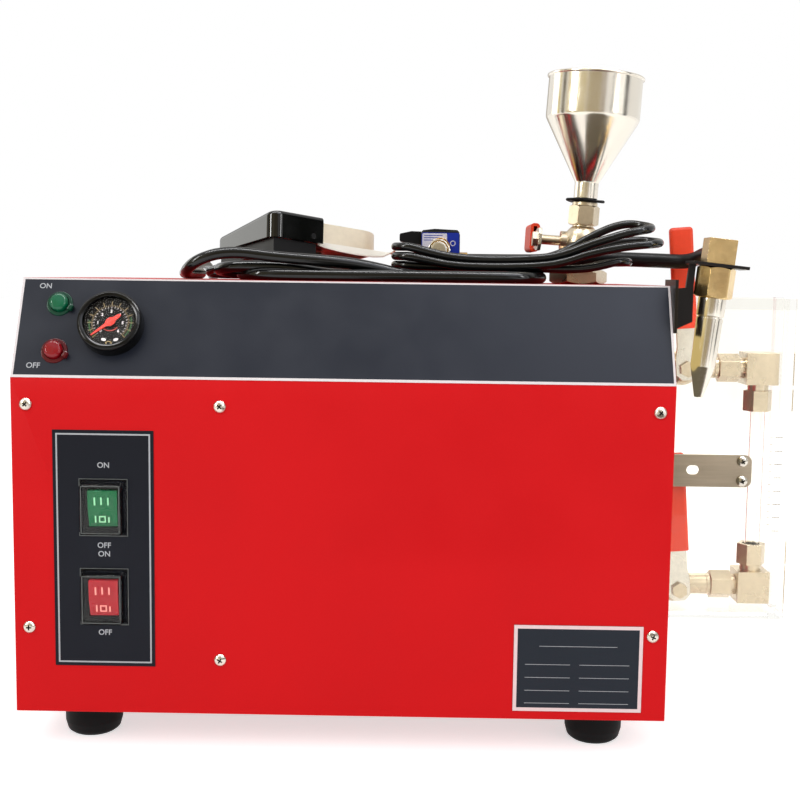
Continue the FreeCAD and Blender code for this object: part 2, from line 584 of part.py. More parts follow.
def boiler_tank():
    low, high = BOILER_LOW, BOILER_HIGH
    inner = "boiler_radius - boiler_wall"
    vessel = turned([("0", low), ("boiler_radius - boiler_knuckle", low),
                     ("boiler_radius", f"{low} + boiler_knuckle"),
                     ("boiler_radius", f"{high} - boiler_knuckle"),
                     ("boiler_radius - boiler_knuckle", high), ("0", high), ("0", f"{high} - boiler_wall"),
                     ("boiler_radius - boiler_knuckle", f"{high} - boiler_wall"),
                     (inner, f"{high} - boiler_knuckle"), (inner, f"{low} + boiler_knuckle"),
                     ("boiler_radius - boiler_knuckle", f"{low} + boiler_wall"),
                     ("0", f"{low} + boiler_wall")], "boiler_x", "gear_y")
    right = "boiler_x + 0.98 * boiler_radius"
    reach = f"{HALF} + nipple_reach - ({right})"
    pipes = [rod("nipple_radius", reach, right, "gear_y", z, "x") for z in LEVELS]
    bores = [rod("nipple_bore", f"{reach} + 10 * boiler_wall", f"{right} - 5 * boiler_wall", "gear_y", z, "x")
             for z in LEVELS]
    roof = f"{high} - boiler_wall / 2"
    for radius, bore, x, y, end in (
            ("nipple_radius", "nipple_bore", "steam_x", "steam_y", f"{TOP} + nipple_reach"),
            ("fill_nipple_radius", "fill_bore", "fill_x", "gear_y", f"{TOP} + flange_nut_height - 2")):
        pipes.append(rod(radius, f"{end} - ({roof})", x, y, roof))
        bores.append(rod(bore, f"{end} - ({roof}) + 4 * boiler_wall", x, y, f"{roof} - 2 * boiler_wall"))
    rear = "gear_y + 0.98 * boiler_radius"
    run = f"cabinet_depth + nipple_reach - ({rear})"
    pipes.append(rod("nipple_radius", run, "boiler_x", rear, "foot_height + safety_z", "y"))
    bores.append(rod("nipple_bore", f"{run} + 10 * boiler_wall", "boiler_x", f"{rear} - 5 * boiler_wall",
                     "foot_height + safety_z", "y"))
    for z in ("foot_height + gauge_port_z", "foot_height + switch_port_z"):
        pipes.append(rod("small_port_radius", "small_port_reach + boiler_wall",
                         f"{BOILER_LEFT} + boiler_wall", "gear_y", z, "-x"))
        bores.append(rod("pipe_radius", "small_port_reach + 5 * boiler_wall",
                         f"{BOILER_LEFT} + 5 * boiler_wall", "gear_y", z, "-x"))
    bores.append(rod("heater_hole", "4 * boiler_wall", "boiler_x", "gear_y", f"{low} - boiler_wall"))
    sub_part("boiler_tank", cut(fuse(vessel, *pipes), *bores))


def heating_element():
    low = BOILER_LOW
    flange = rod("heater_radius", "heater_flange", "boiler_x", "gear_y", f"{low} - heater_flange")
    hub = rod("heater_hole - fit_gap", "2 * boiler_wall", "boiler_x", "gear_y", low)
    parts = [flange, hub]
    for side in (-1, 1):
        y = f"gear_y + {side} * heater_spacing"
        for end in (-1, 1):
            x = f"boiler_x + {end} * heater_span"
            parts.append(rod("heater_tube", "heater_height", x, y, low))
            parts.append(ball("heater_tube", x, y, f"{low} + heater_height"))
        parts.append(rod("heater_tube", "2 * heater_span", "boiler_x - heater_span", y,
                         f"{low} + heater_height", "x"))
        parts.append(rod("heater_tube", "2 * heater_flange", "boiler_x", y, f"{low} - 2.5 * heater_flange"))
    sub_part("heating_element", fuse(*parts))


def pressure_switch():
    z = "foot_height + switch_port_z"
    nut = hexagon("switch_hex", "small_port_reach", PORT_END, "gear_y", z, "-x")
    right = f"{PORT_END} - small_port_reach"
    case = box((f"{right} - switch_box_length", right),
               ("gear_y - switch_box_width / 2", "gear_y + switch_box_width / 2"),
               (f"{z} - switch_box_height / 2", f"{z} + switch_box_height / 2"))
    sub_part("pressure_switch", fuse(nut, case))


def safety_valve():
    """Screwed on the boiler's rear pipe, outside the back wall."""
    z = "foot_height + safety_z"
    start = "cabinet_depth + fit_gap"
    nut = hexagon("safety_hex", "safety_hex_length", "boiler_x", start, z, "y")
    barrel = rod("safety_radius", "safety_length", "boiler_x", start, z, "y")
    tip = cone("0.6 * safety_radius", "0.4 * safety_radius", "rear_reach - safety_length - fit_gap",
               "boiler_x", "cabinet_depth + fit_gap + safety_length", z, "y")
    socket = rod("nipple_radius + fit_gap", "nipple_reach", "boiler_x", "cabinet_depth", z, "y")
    sub_part("safety_valve", cut(fuse(nut, barrel, tip), socket))


def gauge_pipe():
    """The copper pipe from the boiler's upper left port to the pressure gauge's stem."""
    tilt = math.radians(size("console_tilt"))
    inward = Vector(0, math.cos(tilt), -math.sin(tilt))
    uphill = Vector(0, math.sin(tilt), math.cos(tilt))
    corner_z = size("foot_height") + size("cabinet_height") - size("console_rise")
    corner = Vector(size("gauge_x"), 0, corner_z)
    stem = corner + uphill * size("gauge_s") + inward * size("gauge_stem_length")
    port_x = size("boiler_x") - size("boiler_radius") - size("small_port_reach")
    port = Vector(port_x, size("gear_y"), size("foot_height") + size("gauge_port_z"))
    reach = 2 * size("pipe_bend")
    tube_part("gauge_pipe", [[stem, stem + inward * reach, port - Vector(3 * reach, 0, 0), port]],
              size("pipe_radius"), size("pipe_bend"), size("pipe_radius") / 2)


# --- console instruments and switches -------------------------------------------------------------

def pressure_gauge():
    face = "label_thickness"
    floor = "(gauge_height - dial_depth)"
    x, s = "gauge_x", "gauge_s"
    ring = rod("gauge_radius", f"gauge_height - {face}", x, s, face)
    back = rod("gauge_body_radius", f"gauge_body_depth + {face}", x, s, "-gauge_body_depth")
    square = hexagon("gauge_stem_hex", "gauge_stem_length - gauge_body_depth", x, s, "-gauge_stem_length")
    well = rod("dial_radius + fit_gap", "dial_depth", x, s, floor)
    axle = rod("pointer_axle + axle_clearance", f"{floor} / 2", x, s, f"{floor} / 2")
    console_part("gauge_case", cut(fuse(ring, back, square), well, axle))
    dial = rod("dial_radius", "dial_thickness", x, s, floor)
    hole = rod("pointer_axle + axle_clearance", "dial_thickness", x, s, floor)
    console_part("gauge_dial", cut(dial, hole))
    lens = rod("dial_radius", "lens_thickness", x, s, "gauge_height - 1.5 * lens_thickness")
    console_part("gauge_lens", group(lens))
    low = f"{floor} + dial_thickness + pointer_lift"
    hand = padded("XY_Plane", [("-pointer_tail", "-pointer_width"),
                               ("pointer_tail / 3", "-pointer_width / 2"),
                               ("pointer_length", "-pointer_width / 8"),
                               ("pointer_length", "pointer_width / 8"),
                               ("pointer_tail / 3", "pointer_width / 2"), ("-pointer_tail", "pointer_width")],
                  low, f"{low} + pointer_thickness")
    bind(hand, {"Placement.Base.x": x, "Placement.Base.y": s, "Placement.Rotation.Angle": "pointer_rest"})
    hub = rod("pointer_hub", "2 * pointer_thickness", x, s, f"{low} - pointer_thickness / 2")
    pin = rod("pointer_axle", f"{low} - {floor} / 2 - axle_clearance", x, s, f"{floor} / 2 + axle_clearance")
    console_part("gauge_pointer", fuse(hand, hub, pin))


def push_buttons():
    pieces = []
    face = "label_thickness"
    for s in BUTTONS:
        collar = rod("bezel_radius", "bezel_height", "button_x", s, face)
        body = rod(BEZEL_BODY, f"bezel_depth + {face}", "button_x", s, "-bezel_depth")
        floor = "button_depth + button_travel + button_clearance"
        bore = rod("button_radius + button_clearance", "bezel_depth", "button_x", s, f"-({floor})")
        pieces.append(cut(fuse(collar, body), bore))
        nut = hexagon("bezel_nut", "bezel_nut_height", "button_x", s, "-sheet - bezel_nut_height")
        hole = rod(f"{BEZEL_BODY} + fit_gap", "2 * bezel_nut_height", "button_x", s,
                   "-sheet - 1.5 * bezel_nut_height")
        pieces.append(cut(nut, hole))
    console_part("button_bezels", group(*pieces))
    for label, s in zip(("steam_on_button", "steam_off_button"), BUTTONS):
        high = "button_height - button_chamfer"
        shaft = rod("button_radius", f"button_depth + {high}", "button_x", s, "-button_depth")
        crown = cone("button_radius", "button_radius - button_chamfer", "button_chamfer", "button_x", s, high)
        console_part(label, fuse(shaft, crown))


def rocker_switches():
    housings = []
    boots = []
    face = "label_thickness"
    for label, z in zip(("pedal_switch_rocker", "power_switch_rocker"), SWITCHES):
        housings.append(switch_housing(z))
        boots.append(switch_boot(z))
        profile = [("rocker_root", "-rocker_height / 3"), ("rocker_root", "rocker_height / 3"),
                   ("0", "rocker_height / 2"), ("-rocker_edge", "rocker_height / 2"), ("-rocker_crest", "0"),
                   ("-rocker_edge", "-rocker_height / 2"), ("0", "-rocker_height / 2")]
        key = padded("YZ_Plane", profile, "-rocker_width / 2", "rocker_width / 2")
        axle = rod("rocker_axle", "switch_body_width - 2 * bearing_gap",
                   "bearing_gap - switch_body_width / 2", "0", "0", "x")
        tilt = Rotation(Vector(1, 0, 0), size("rocker_tilt"))
        sub_part(label, fuse(key, axle), ("switch_x", "rocker_pivot_depth", z), tilt)
    sub_part("switch_housings", group(*housings))
    sub_part("switch_boots", group(*boots))


def framed(width, height, y_low, y_high, z):
    """A block centred on a switch's middle, between two depths."""
    return box((f"switch_x - ({width}) / 2", f"switch_x + ({width}) / 2"), (y_low, y_high),
               (f"{z} - ({height}) / 2", f"{z} + ({height}) / 2"))


def switch_housing(z):
    front = "-label_thickness - switch_flange_thickness"
    flange = framed("switch_flange_width", "switch_flange_height", front, "-label_thickness", z)
    body = framed("switch_body_width", "switch_body_height", "-label_thickness", "switch_body_depth", z)
    well = framed("rocker_width + 2 * rocker_clearance", "rocker_height + 2 * rocker_swing_room",
                  front, "rocker_well", z)
    bearing = rod("rocker_axle + bearing_gap", "switch_body_width", "switch_x - switch_body_width / 2",
                  "rocker_pivot_depth", z, "x")
    tabs = [centred_box("tab_width", "2 * tab_length", "tab_thickness", "switch_x", "switch_body_depth",
                        f"{z} + {place} * tab_spacing") for place in (-1, 0, 1)]
    return cut(fuse(flange, body, *tabs), well, bearing)


def switch_boot(z):
    """The clear cap over a switch, with a lip on the label plate."""
    back = "-label_thickness"
    lip = framed("boot_width", "boot_height", f"{back} - boot_lip", back, z)
    dome = framed("boot_width - 2 * boot_step", "boot_height - 2 * boot_step", f"{back} - boot_reach",
                  back, z)
    inset = "2 * (boot_step + boot_wall)"
    room = framed(f"boot_width - {inset}", f"boot_height - {inset}", f"{back} - boot_reach + boot_wall",
                  back, z)
    return cut(fuse(lip, dome), room)


# --- ball valves ----------------------------------------------------------------------------------

def valve_body(hex_reach, neck_reach, bore):
    """A ball valve's body about its ball: the flow runs along y, and the stem leaves along z."""
    barrel = rod("valve_barrel", f"{hex_reach} + valve_neck", "0", "-valve_neck", "0", "y")
    end = hexagon("valve_hex", "valve_hex_length", "0", f"{hex_reach} - valve_hex_length", "0", "y")
    neck = rod("valve_neck", neck_reach, "0", "0", "0", "-y")
    packing = rod("packing_radius", "packing_reach", "0", "0", "0")
    solid = fuse(ball("valve_sphere", "0", "0", "0"), barrel, end, neck, packing)
    flow = rod(bore, f"{hex_reach} + {neck_reach}", "0", f"-({neck_reach})", "0", "y")
    seat = ball("valve_seat", "0", "0", "0")
    stem = rod("stem_radius + stem_clearance", "packing_reach", "0", "0", "0")
    return cut(solid, flow, seat, stem)


def valve_trim(name, sleeve_name, ball_name, reach, length, origin, rotation):
    """The moving pieces of a ball valve: ball with stem and nut, lever and sleeve. The lever lies along x."""
    far = f"({reach}) + lever_thickness"
    core = fuse(ball("valve_ball", "0", "0", "0"), rod("stem_radius", far, "0", "0", "0"))
    bore = rod("fill_bore", "3 * valve_ball", "-1.5 * valve_ball", "0", "0", "x")
    nut = hexagon("lever_nut", "lever_nut_height", "0", "0", far)
    sub_part(ball_name, group(cut(core, bore), nut), origin, rotation)
    hub, half = "lever_hub", "lever_width / 2"
    tip = f"{length} - sleeve_cap"
    outline_points = [(f"-{hub}", f"-{hub} / 2"), (f"-{hub} / 2", f"-{hub}"), (hub, f"-{hub}"),
                      (f"2 * {hub}", f"-{half}"), (tip, f"-{half}"), (tip, half), (f"2 * {hub}", half),
                      (hub, hub), (f"-{hub} / 2", hub), (f"-{hub}", f"{hub} / 2")]
    bar = padded("XY_Plane", outline_points, reach, far)
    hole = rod("stem_radius", "2 * lever_thickness", "0", "0", f"{reach} - lever_thickness / 2")
    sub_part(name, cut(bar, hole), origin, rotation)
    middle = f"({reach}) + lever_thickness / 2"
    grip = box(("sleeve_start", length), ("-sleeve_width / 2", "sleeve_width / 2"),
               (f"{middle} - sleeve_thickness / 2", f"{middle} + sleeve_thickness / 2"))
    soft = rounded(grip, size("sleeve_round"), lambda edge: edge.BoundBox.XMax > size(length) - 0.01
                   or along(edge, Vector(1, 0, 0)))
    slot = box(("sleeve_start", tip), (f"-{half}", half), (reach, far))
    sub_part(sleeve_name, cut(soft, slot), origin, rotation)


# --- filling stack --------------------------------------------------------------------------------

def fill_frame():
    """The leaning stack's axes: its own z is the pipe's axis, and its origin is on the cabinet's top."""
    return ("fill_x", "gear_y", TOP), Rotation(Vector(0, 1, 0), size("fill_lean"))


def filling_stack():
    origin, lean = fill_frame()
    lift = "fill_valve_lift"
    centre = (f"fill_x + {lift} * sin(fill_lean)", "gear_y", f"{TOP} + {lift} * cos(fill_lean)")
    upright = lean.multiply(columns((0, 1, 0), (0, 0, -1), (-1, 0, 0)))
    sub_part("fill_valve_body", valve_body("fill_hex_reach", "fill_neck_reach", "fill_bore"), centre, upright)
    valve_trim("fill_valve_lever", "fill_lever_sleeve", "fill_valve_ball", "fill_stem_reach",
               "fill_lever_length", centre, upright)
    washer = rod("gasket_radius", "gasket_thickness", "0", "0", COLLAR_TOP)
    hole = rod("funnel_spigot + fit_gap", "gasket_thickness", "0", "0", COLLAR_TOP)
    sub_part("funnel_gasket", cut(washer, hole), origin, lean)
    sub_part("funnel", funnel(), origin, lean)


COLLAR_TOP = "(funnel_nut_high + funnel_collar_height)"


def funnel():
    seat = f"({COLLAR_TOP} + gasket_thickness)"
    wall = "funnel_wall"
    return turned([("funnel_spigot", "funnel_spigot_low"), ("funnel_spigot", seat), ("funnel_neck", seat),
                   ("funnel_neck", "funnel_cone_low"), ("funnel_radius", "funnel_cone_high"),
                   ("funnel_radius", "funnel_high - 2 * funnel_rim"),
                   ("funnel_radius + funnel_rim", "funnel_high - 2 * funnel_rim"),
                   ("funnel_radius + funnel_rim", "funnel_high"), (f"funnel_radius - {wall}", "funnel_high"),
                   (f"funnel_radius - {wall}", f"funnel_cone_high + {wall} / 2"),
                   (f"funnel_neck - {wall}", f"funnel_cone_low + {wall} / 2"),
                   (f"funnel_neck - {wall}", f"{seat} + {wall}"), ("funnel_spigot - 1.4", f"{seat} + {wall}"),
                   ("funnel_spigot - 1.4", "funnel_spigot_low")])


def pipe_nuts():
    """The flange nut on the cabinet's top, the funnel's nut and the nozzle's nut."""
    flange = cut(hexagon("flange_nut", "flange_nut_height", "fill_x", "gear_y", TOP),
                 rod("fill_nipple_radius + fit_gap", "2 * flange_nut_height", "fill_x", "gear_y",
                     f"{TOP} - flange_nut_height / 2"))
    height = "funnel_nut_high - funnel_nut_low"
    nut = hexagon("funnel_nut", height, "0", "0", "funnel_nut_low")
    collar = rod("funnel_collar", "funnel_collar_height", "0", "0", "funnel_nut_high")
    neck = "fill_valve_lift + fill_neck_reach"
    thread = rod("valve_neck + fit_gap", f"{neck} + fit_gap", "0", "0", "0")
    spigot = rod("funnel_spigot + fit_gap", COLLAR_TOP, "0", "0", "0")
    top_nut = cut(fuse(nut, collar), thread, spigot)
    top_nut.Placement = Placement(Vector(), Rotation(Vector(0, 1, 0), size("fill_lean")))
    bind(top_nut, {"Placement.Base.x": "fill_x", "Placement.Base.y": "gear_y", "Placement.Base.z": TOP})
    tip_nut = hexagon("nozzle_nut", "nozzle_nut_height", "0", "0", f"-{SHELF} - nozzle_nut_height")
    bore = rod("nozzle_thread + thread_clearance", "2 * nozzle_nut_height", "0", "0",
               "-2 * nozzle_nut_height")
    end_nut = cut(tip_nut, bore)
    end_nut.Placement = Placement(Vector(), Rotation(Vector(0, 1, 0), size("nozzle_lean")))
    bind(end_nut, {"Placement.Base.x": "nozzle_x", "Placement.Base.y": "nozzle_y",
                   "Placement.Base.z": "foot_height + nozzle_z"})
    sub_part("pipe_nuts", group(flange, top_nut, end_nut))


# --- water-level gauge ----------------------------------------------------------------------------

def level_gauge():
    facing = columns((0, 0, 1), (-1, 0, 0), (0, -1, 0))
    bodies = []
    for z in LEVELS:
        body = valve_body("level_hex_reach", "level_neck_reach", "nipple_bore")
        body.Placement = Placement(Vector(), facing)
        bodies.append(bind(body, {"Placement.Base.x": "level_valve_x", "Placement.Base.y": "gear_y",
                                  "Placement.Base.z": z}))
    # each body's hexagon is bored to go over the boiler's pipe
    sockets = [rod("nipple_radius + fit_gap", "nipple_reach + fit_gap", HALF, "gear_y", z, "x")
               for z in LEVELS]
    sub_part("gauge_valve_bodies", group(*[cut(body, hole) for body, hole in zip(bodies, sockets)]))
    lean = math.radians(size("level_lever_lean"))
    along_lever = (-math.sin(lean), 0, math.cos(lean))
    across_lever = (-math.cos(lean), 0, -math.sin(lean))
    leaning = columns(along_lever, across_lever, (0, -1, 0))
    for name, z in zip(("lower", "upper"), LEVELS):
        valve_trim(f"{name}_valve_lever", f"{name}_lever_sleeve", f"{name}_valve_ball", "level_stem_reach",
                   "level_lever_length", ("level_valve_x", "gear_y", z), leaning)
    sub_part("gauge_nuts", group(*level_nuts()))
    sub_part("gauge_elbows", group(level_elbow(LEVELS[0], 1), level_elbow(LEVELS[1], -1)))
    seat = "elbow_size / 2 - glass_seat"
    low, high = f"{LEVELS[0]} + {seat}", f"{LEVELS[1]} - ({seat})"
    glass = rod("glass_radius", f"{high} - ({low})", "elbow_x", "gear_y", low)
    bore = rod("glass_bore", f"{high} - ({low})", "elbow_x", "gear_y", low)
    sub_part("sight_glass", cut(glass, bore))


def level_nuts():
    """Two hexagonal nipples between valve and elbow, and two gland nuts on the glass."""
    pieces = []
    left = "level_valve_x + level_neck_reach"
    right = "elbow_x - elbow_size / 2"
    for z in LEVELS:
        nut = hexagon("level_hex_nut", "level_nut_right - level_nut_left", "level_nut_left", "gear_y", z, "x")
        pipe = rod("valve_neck", f"{right} - ({left})", left, "gear_y", z, "x")
        bore = rod("nipple_bore", f"{right} - ({left})", left, "gear_y", z, "x")
        pieces.append(cut(fuse(nut, pipe), bore))
    reach = "elbow_size / 2 + gland_gap"
    for z in (f"{LEVELS[0]} + {reach}", f"{LEVELS[1]} - ({reach}) - gland_height"):
        nut = hexagon("level_hex_nut", "gland_height", "elbow_x", "gear_y", z)
        pieces.append(cut(nut, rod("glass_radius + fit_gap", "gland_height", "elbow_x", "gear_y", z)))
    return pieces


def level_elbow(z, side):
    """A square block that turns the flow to the glass, with a threaded neck for the gland nut."""
    axis = "z" if side > 0 else "-z"
    block = centred_box("elbow_size", "elbow_size", "elbow_size", "elbow_x", "gear_y",
                        f"{z} - elbow_size / 2")
    neck = rod("valve_neck", "elbow_size / 2 + gland_gap", "elbow_x", "gear_y", z, axis)
    seat = rod("glass_radius + fit_gap", "elbow_size", "elbow_x", "gear_y",
               f"{z} + {side} * (elbow_size / 2 - glass_seat)", axis)
    flow = rod("nipple_bore", "elbow_size / 2", "elbow_x", "gear_y", z, "-x")
    rise = rod("nipple_bore", "elbow_size / 2", "elbow_x", "gear_y", z, axis)
    return cut(fuse(block, neck), seat, flow, rise)


def gauge_strap():
    """The stainless bracket that carries the guard, screwed to the cabinet's right wall."""
    z = ("foot_height + strap_low", "foot_height + strap_high")
    leaf = box((HALF, "strap_right"), ("strap_front", STRAP_BACK), z)
    round_leaf = rounded(leaf, size("strap_round"), lambda edge: along(edge, Vector(0, 1, 0))
                         and edge.BoundBox.XMin > size("strap_right") - 0.01)
    foot = box((HALF, f"{HALF} + strap_thickness"), ("strap_front", "strap_front + strap_foot"), z)
    through = "4 * strap_thickness"
    start = "strap_front - strap_thickness"
    holes = [rod("screw_radius", through, "strap_screw_x", start, z, "y") for z in STRAP_SCREWS]
    holes += [rod("screw_radius", through, f"{HALF} - strap_thickness", "wall_screw_y", z, "x")
              for z in WALL_SCREWS]
    slot_z = "foot_height + strap_slot_z"
    half = "(strap_slot_length - strap_slot_height) / 2"
    holes += [rod("strap_slot_height / 2", through, f"strap_slot_x + {side} * {half}", start, slot_z, "y")
              for side in (-1, 1)]
    holes += [box((f"strap_slot_x - {half}", f"strap_slot_x + {half}"), (start, f"{start} + {through}"),
                  (f"{slot_z} - strap_slot_height / 2", f"{slot_z} + strap_slot_height / 2"))]
    sub_part("gauge_strap", cut(fuse(round_leaf, foot), *holes))


def gauge_guard():
    """The clear box round the gauge: front, floor, side and back plates, with a slot for the levers."""
    low, high = "foot_height + guard_low", "foot_height + guard_high"
    left = f"{HALF} + guard_side_gap"
    whole = box((left, "guard_right"), (STRAP_BACK, "guard_back"), (low, high))
    room = box((f"{HALF} - sheet", "guard_right - guard_wall"),
               (f"{STRAP_BACK} + guard_wall", "guard_back - guard_wall"),
               (f"{low} + guard_wall", f"{high} + guard_wall"))
    slot = box(("guard_right - 2 * guard_wall", "guard_right + guard_wall"),
               (f"{STRAP_BACK} + guard_wall", f"{STRAP_BACK} + guard_wall + lever_slot"),
               (f"{low} + guard_wall", f"{high} + guard_wall"))
    holes = [rod("screw_radius", "2 * guard_wall", "strap_screw_x", "strap_front", z, "y")
             for z in STRAP_SCREWS]
    sub_part("gauge_guard", cut(whole, room, slot, *holes))


# --- nozzle ---------------------------------------------------------------------------------------

SHELF = "shelf_thickness / 2"


def nozzle_bracket():
    """A flange on the right wall, a web and a leaning shelf, in black sheet steel."""
    flange = box((HALF, f"{HALF} + bracket_thickness"),
                 ("nozzle_y - bracket_flange_depth / 2", "nozzle_y + bracket_flange_depth / 2"),
                 ("foot_height + bracket_flange_low", "foot_height + bracket_flange_high"))
    shelf_left = f"nozzle_x - shelf_length / 2 * cos(nozzle_lean)"
    shelf_z = f"foot_height + nozzle_z + shelf_length / 2 * sin(nozzle_lean)"
    nut_left = "nozzle_x - nozzle_nut * 0.68"
    web = padded("XZ_Plane", [(HALF, "foot_height + bracket_flange_low"),
                              (nut_left, "foot_height + bracket_flange_low + 7"),
                              (nut_left, "foot_height + bracket_flange_high - 3"),
                              (f"{shelf_left} + 4", f"{shelf_z} - shelf_thickness / 2"),
                              (shelf_left, shelf_z),
                              (f"{shelf_left} - 2", "foot_height + bracket_flange_high - 5"),
                              (HALF, "foot_height + bracket_flange_high - 6")],
                 "nozzle_y - bracket_web / 2", "nozzle_y + bracket_web / 2")
    shelf = centred_box("shelf_length", "shelf_depth", "shelf_thickness", "0", "0", f"-{SHELF}")
    hole = rod("nozzle_thread + thread_clearance", "3 * shelf_thickness", "0", "0", "-2 * shelf_thickness")
    deck = cut(shelf, hole)
    deck.Placement = Placement(Vector(), Rotation(Vector(0, 1, 0), size("nozzle_lean")))
    bind(deck, {"Placement.Base.x": "nozzle_x", "Placement.Base.y": "nozzle_y",
                "Placement.Base.z": "foot_height + nozzle_z"})
    holes = [rod("screw_radius", "3 * bracket_thickness", HALF, y, z, "x") for y, z in BRACKET_SCREWS]
    sub_part("nozzle_bracket", cut(fuse(flange, web, deck), *holes))


def steam_nozzle():
    origin = ("nozzle_x", "nozzle_y", "foot_height + nozzle_z")
    lean = Rotation(Vector(0, 1, 0), size("nozzle_lean"))
    block = centred_box("elbow_block_width", "elbow_block_width", "elbow_block_height", "0", "0", SHELF)
    thread = rod("nozzle_thread", "nozzle_thread_length + elbow_block_height / 2", "0", "0",
                 f"-{SHELF} - nozzle_thread_length + shelf_thickness")
    middle = f"{SHELF} + elbow_block_height / 2"
    port = rod("hose_port", "elbow_block_width / 2 + hose_port_length", "0", "0", middle, "y")
    bores = [rod("hose_bore", "elbow_block_width", "0", "0", middle, "y"),
             rod("hose_bore", "2 * elbow_block_height", "0", "0", f"{middle} - 2 * elbow_block_height")]
    sub_part("nozzle_elbow", cut(fuse(block, thread, port), *bores), origin, lean)
    nut_low = f"(-{SHELF} - nozzle_nut_height)"
    collar_low = f"({nut_low} - nozzle_collar_length)"
    body_low = f"({collar_low} - nozzle_groove - nozzle_body_length)"
    tip_low = f"({body_low} - nozzle_cone_length)"
    nozzle = turned([("nozzle_bore", f"{nut_low} + nozzle_thread_length"),
                     ("nozzle_thread", f"{nut_low} + nozzle_thread_length"), ("nozzle_thread", nut_low),
                     ("nozzle_collar", nut_low), ("nozzle_collar", collar_low),
                     ("nozzle_body_top - nozzle_groove", collar_low),
                     ("nozzle_body_top - nozzle_groove", f"{collar_low} - nozzle_groove"),
                     ("nozzle_body_top", f"{collar_low} - nozzle_groove"), ("nozzle_body_low", body_low),
                     ("nozzle_tip", tip_low), ("nozzle_bore", tip_low)])
    sub_part("steam_nozzle", nozzle, origin, lean)


def steam_hose():
    """The black hose from the solenoid valve's outlet to the block over the nozzle."""
    lean = math.radians(size("nozzle_lean"))
    rise = size("shelf_thickness") / 2 + size("elbow_block_height") / 2
    start = Vector(size("nozzle_x") + rise * math.sin(lean),
                   size("nozzle_y") + size("elbow_block_width") / 2 + size("hose_port_length"),
                   size("foot_height") + size("nozzle_z") + rise * math.cos(lean))
    outlet_x = size("steam_x") + size("solenoid_width") / 2 + size("outlet_reach")
    end = Vector(outlet_x, size("steam_y"), size("foot_height") + size("cabinet_height")
                 + size("outlet_height"))
    route = [start, start + Vector(0, 19, 0), start + Vector(-7.5, 37, -6.5), start + Vector(-25.5, 47, -5.5),
             end + Vector(97, -42, 2), end + Vector(67, -38, 1), end + Vector(51, -24, 0),
             end + Vector(41, -10, 0), end + Vector(23, 0, 0), end]
    tube_part("steam_hose", [route], size("hose_radius"), None, size("hose_bore"))


# --- solenoid valve -------------------------------------------------------------------------------

def solenoid():
    """The steam valve on the boiler's outlet: its coil lies forward, and a plunger slides in its bore."""
    low, high = f"{TOP} + solenoid_low", f"{TOP} + solenoid_high"
    axis_z = f"({TOP} + (coil_low + coil_high) / 2)"
    body = centred_box("solenoid_width", "solenoid_depth", f"{high} - ({low})", "steam_x", "steam_y", low)
    body_front = "(steam_y - solenoid_depth / 2)"
    tube_end = "(coil_front - coil_nut_height)"
    armature = rod("armature_radius", f"{body_front} - {tube_end}", "steam_x", tube_end, axis_z, "y")
    outlet = rod("hose_port", "solenoid_width / 2 + outlet_reach", "steam_x", "steam_y",
                 f"{TOP} + outlet_height", "x")
    socket = rod("nipple_radius + fit_gap", "nipple_reach", "steam_x", "steam_y", TOP)
    way_up = rod("nipple_bore", "outlet_height", "steam_x", "steam_y", TOP)
    way_out = rod("hose_bore", "solenoid_width", "steam_x", "steam_y", f"{TOP} + outlet_height", "x")
    bore = rod("armature_bore", "plunger_back + plunger_travel - plunger_front + 1", "steam_x",
               "plunger_front - 0.5", axis_z, "y")
    sub_part("solenoid_valve", cut(fuse(body, armature, outlet), socket, way_up, way_out, bore))
    can = box(("steam_x - coil_width / 2", "steam_x + coil_width / 2"), ("coil_front", "coil_back"),
              (f"{TOP} + coil_low", f"{TOP} + coil_high"))
    block = box(("steam_x - coil_width / 2 - plug_block_width", "steam_x - coil_width / 2"),
                ("coil_front + 4", "coil_front + 4 + plug_block_depth"),
                (f"{TOP} + coil_high - 1.3 * plug_block_height",
                 f"{TOP} + coil_high - 0.3 * plug_block_height"))
    hole = rod("armature_radius + fit_gap", "2 * coil_back", "steam_x", "0", axis_z, "y")
    nut = hexagon("coil_nut", "coil_nut_height", "steam_x", tube_end, axis_z, "y")
    sub_part("solenoid_coil", group(cut(fuse(can, block), hole),
                                    cut(nut, rod("armature_radius + fit_gap", "2 * coil_back", "steam_x", "0",
                                                 axis_z, "y"))))
    plunger = rod("plunger_radius", "plunger_back - plunger_front", "steam_x", "plunger_front", axis_z, "y")
    sub_part("solenoid_plunger", group(plunger))


# --- foot pedal -----------------------------------------------------------------------------------

def pedal_frame():
    """The pedal's axes: its own z leans back, and it is turned on the cabinet's top."""
    lean = Rotation(Vector(1, 0, 0), -size("pedal_tilt"))
    turn = Rotation(Vector(0, 0, 1), size("pedal_yaw"))
    return ("pedal_x", "pedal_y", f"{TOP} + pedal_lift"), lean.multiply(turn)


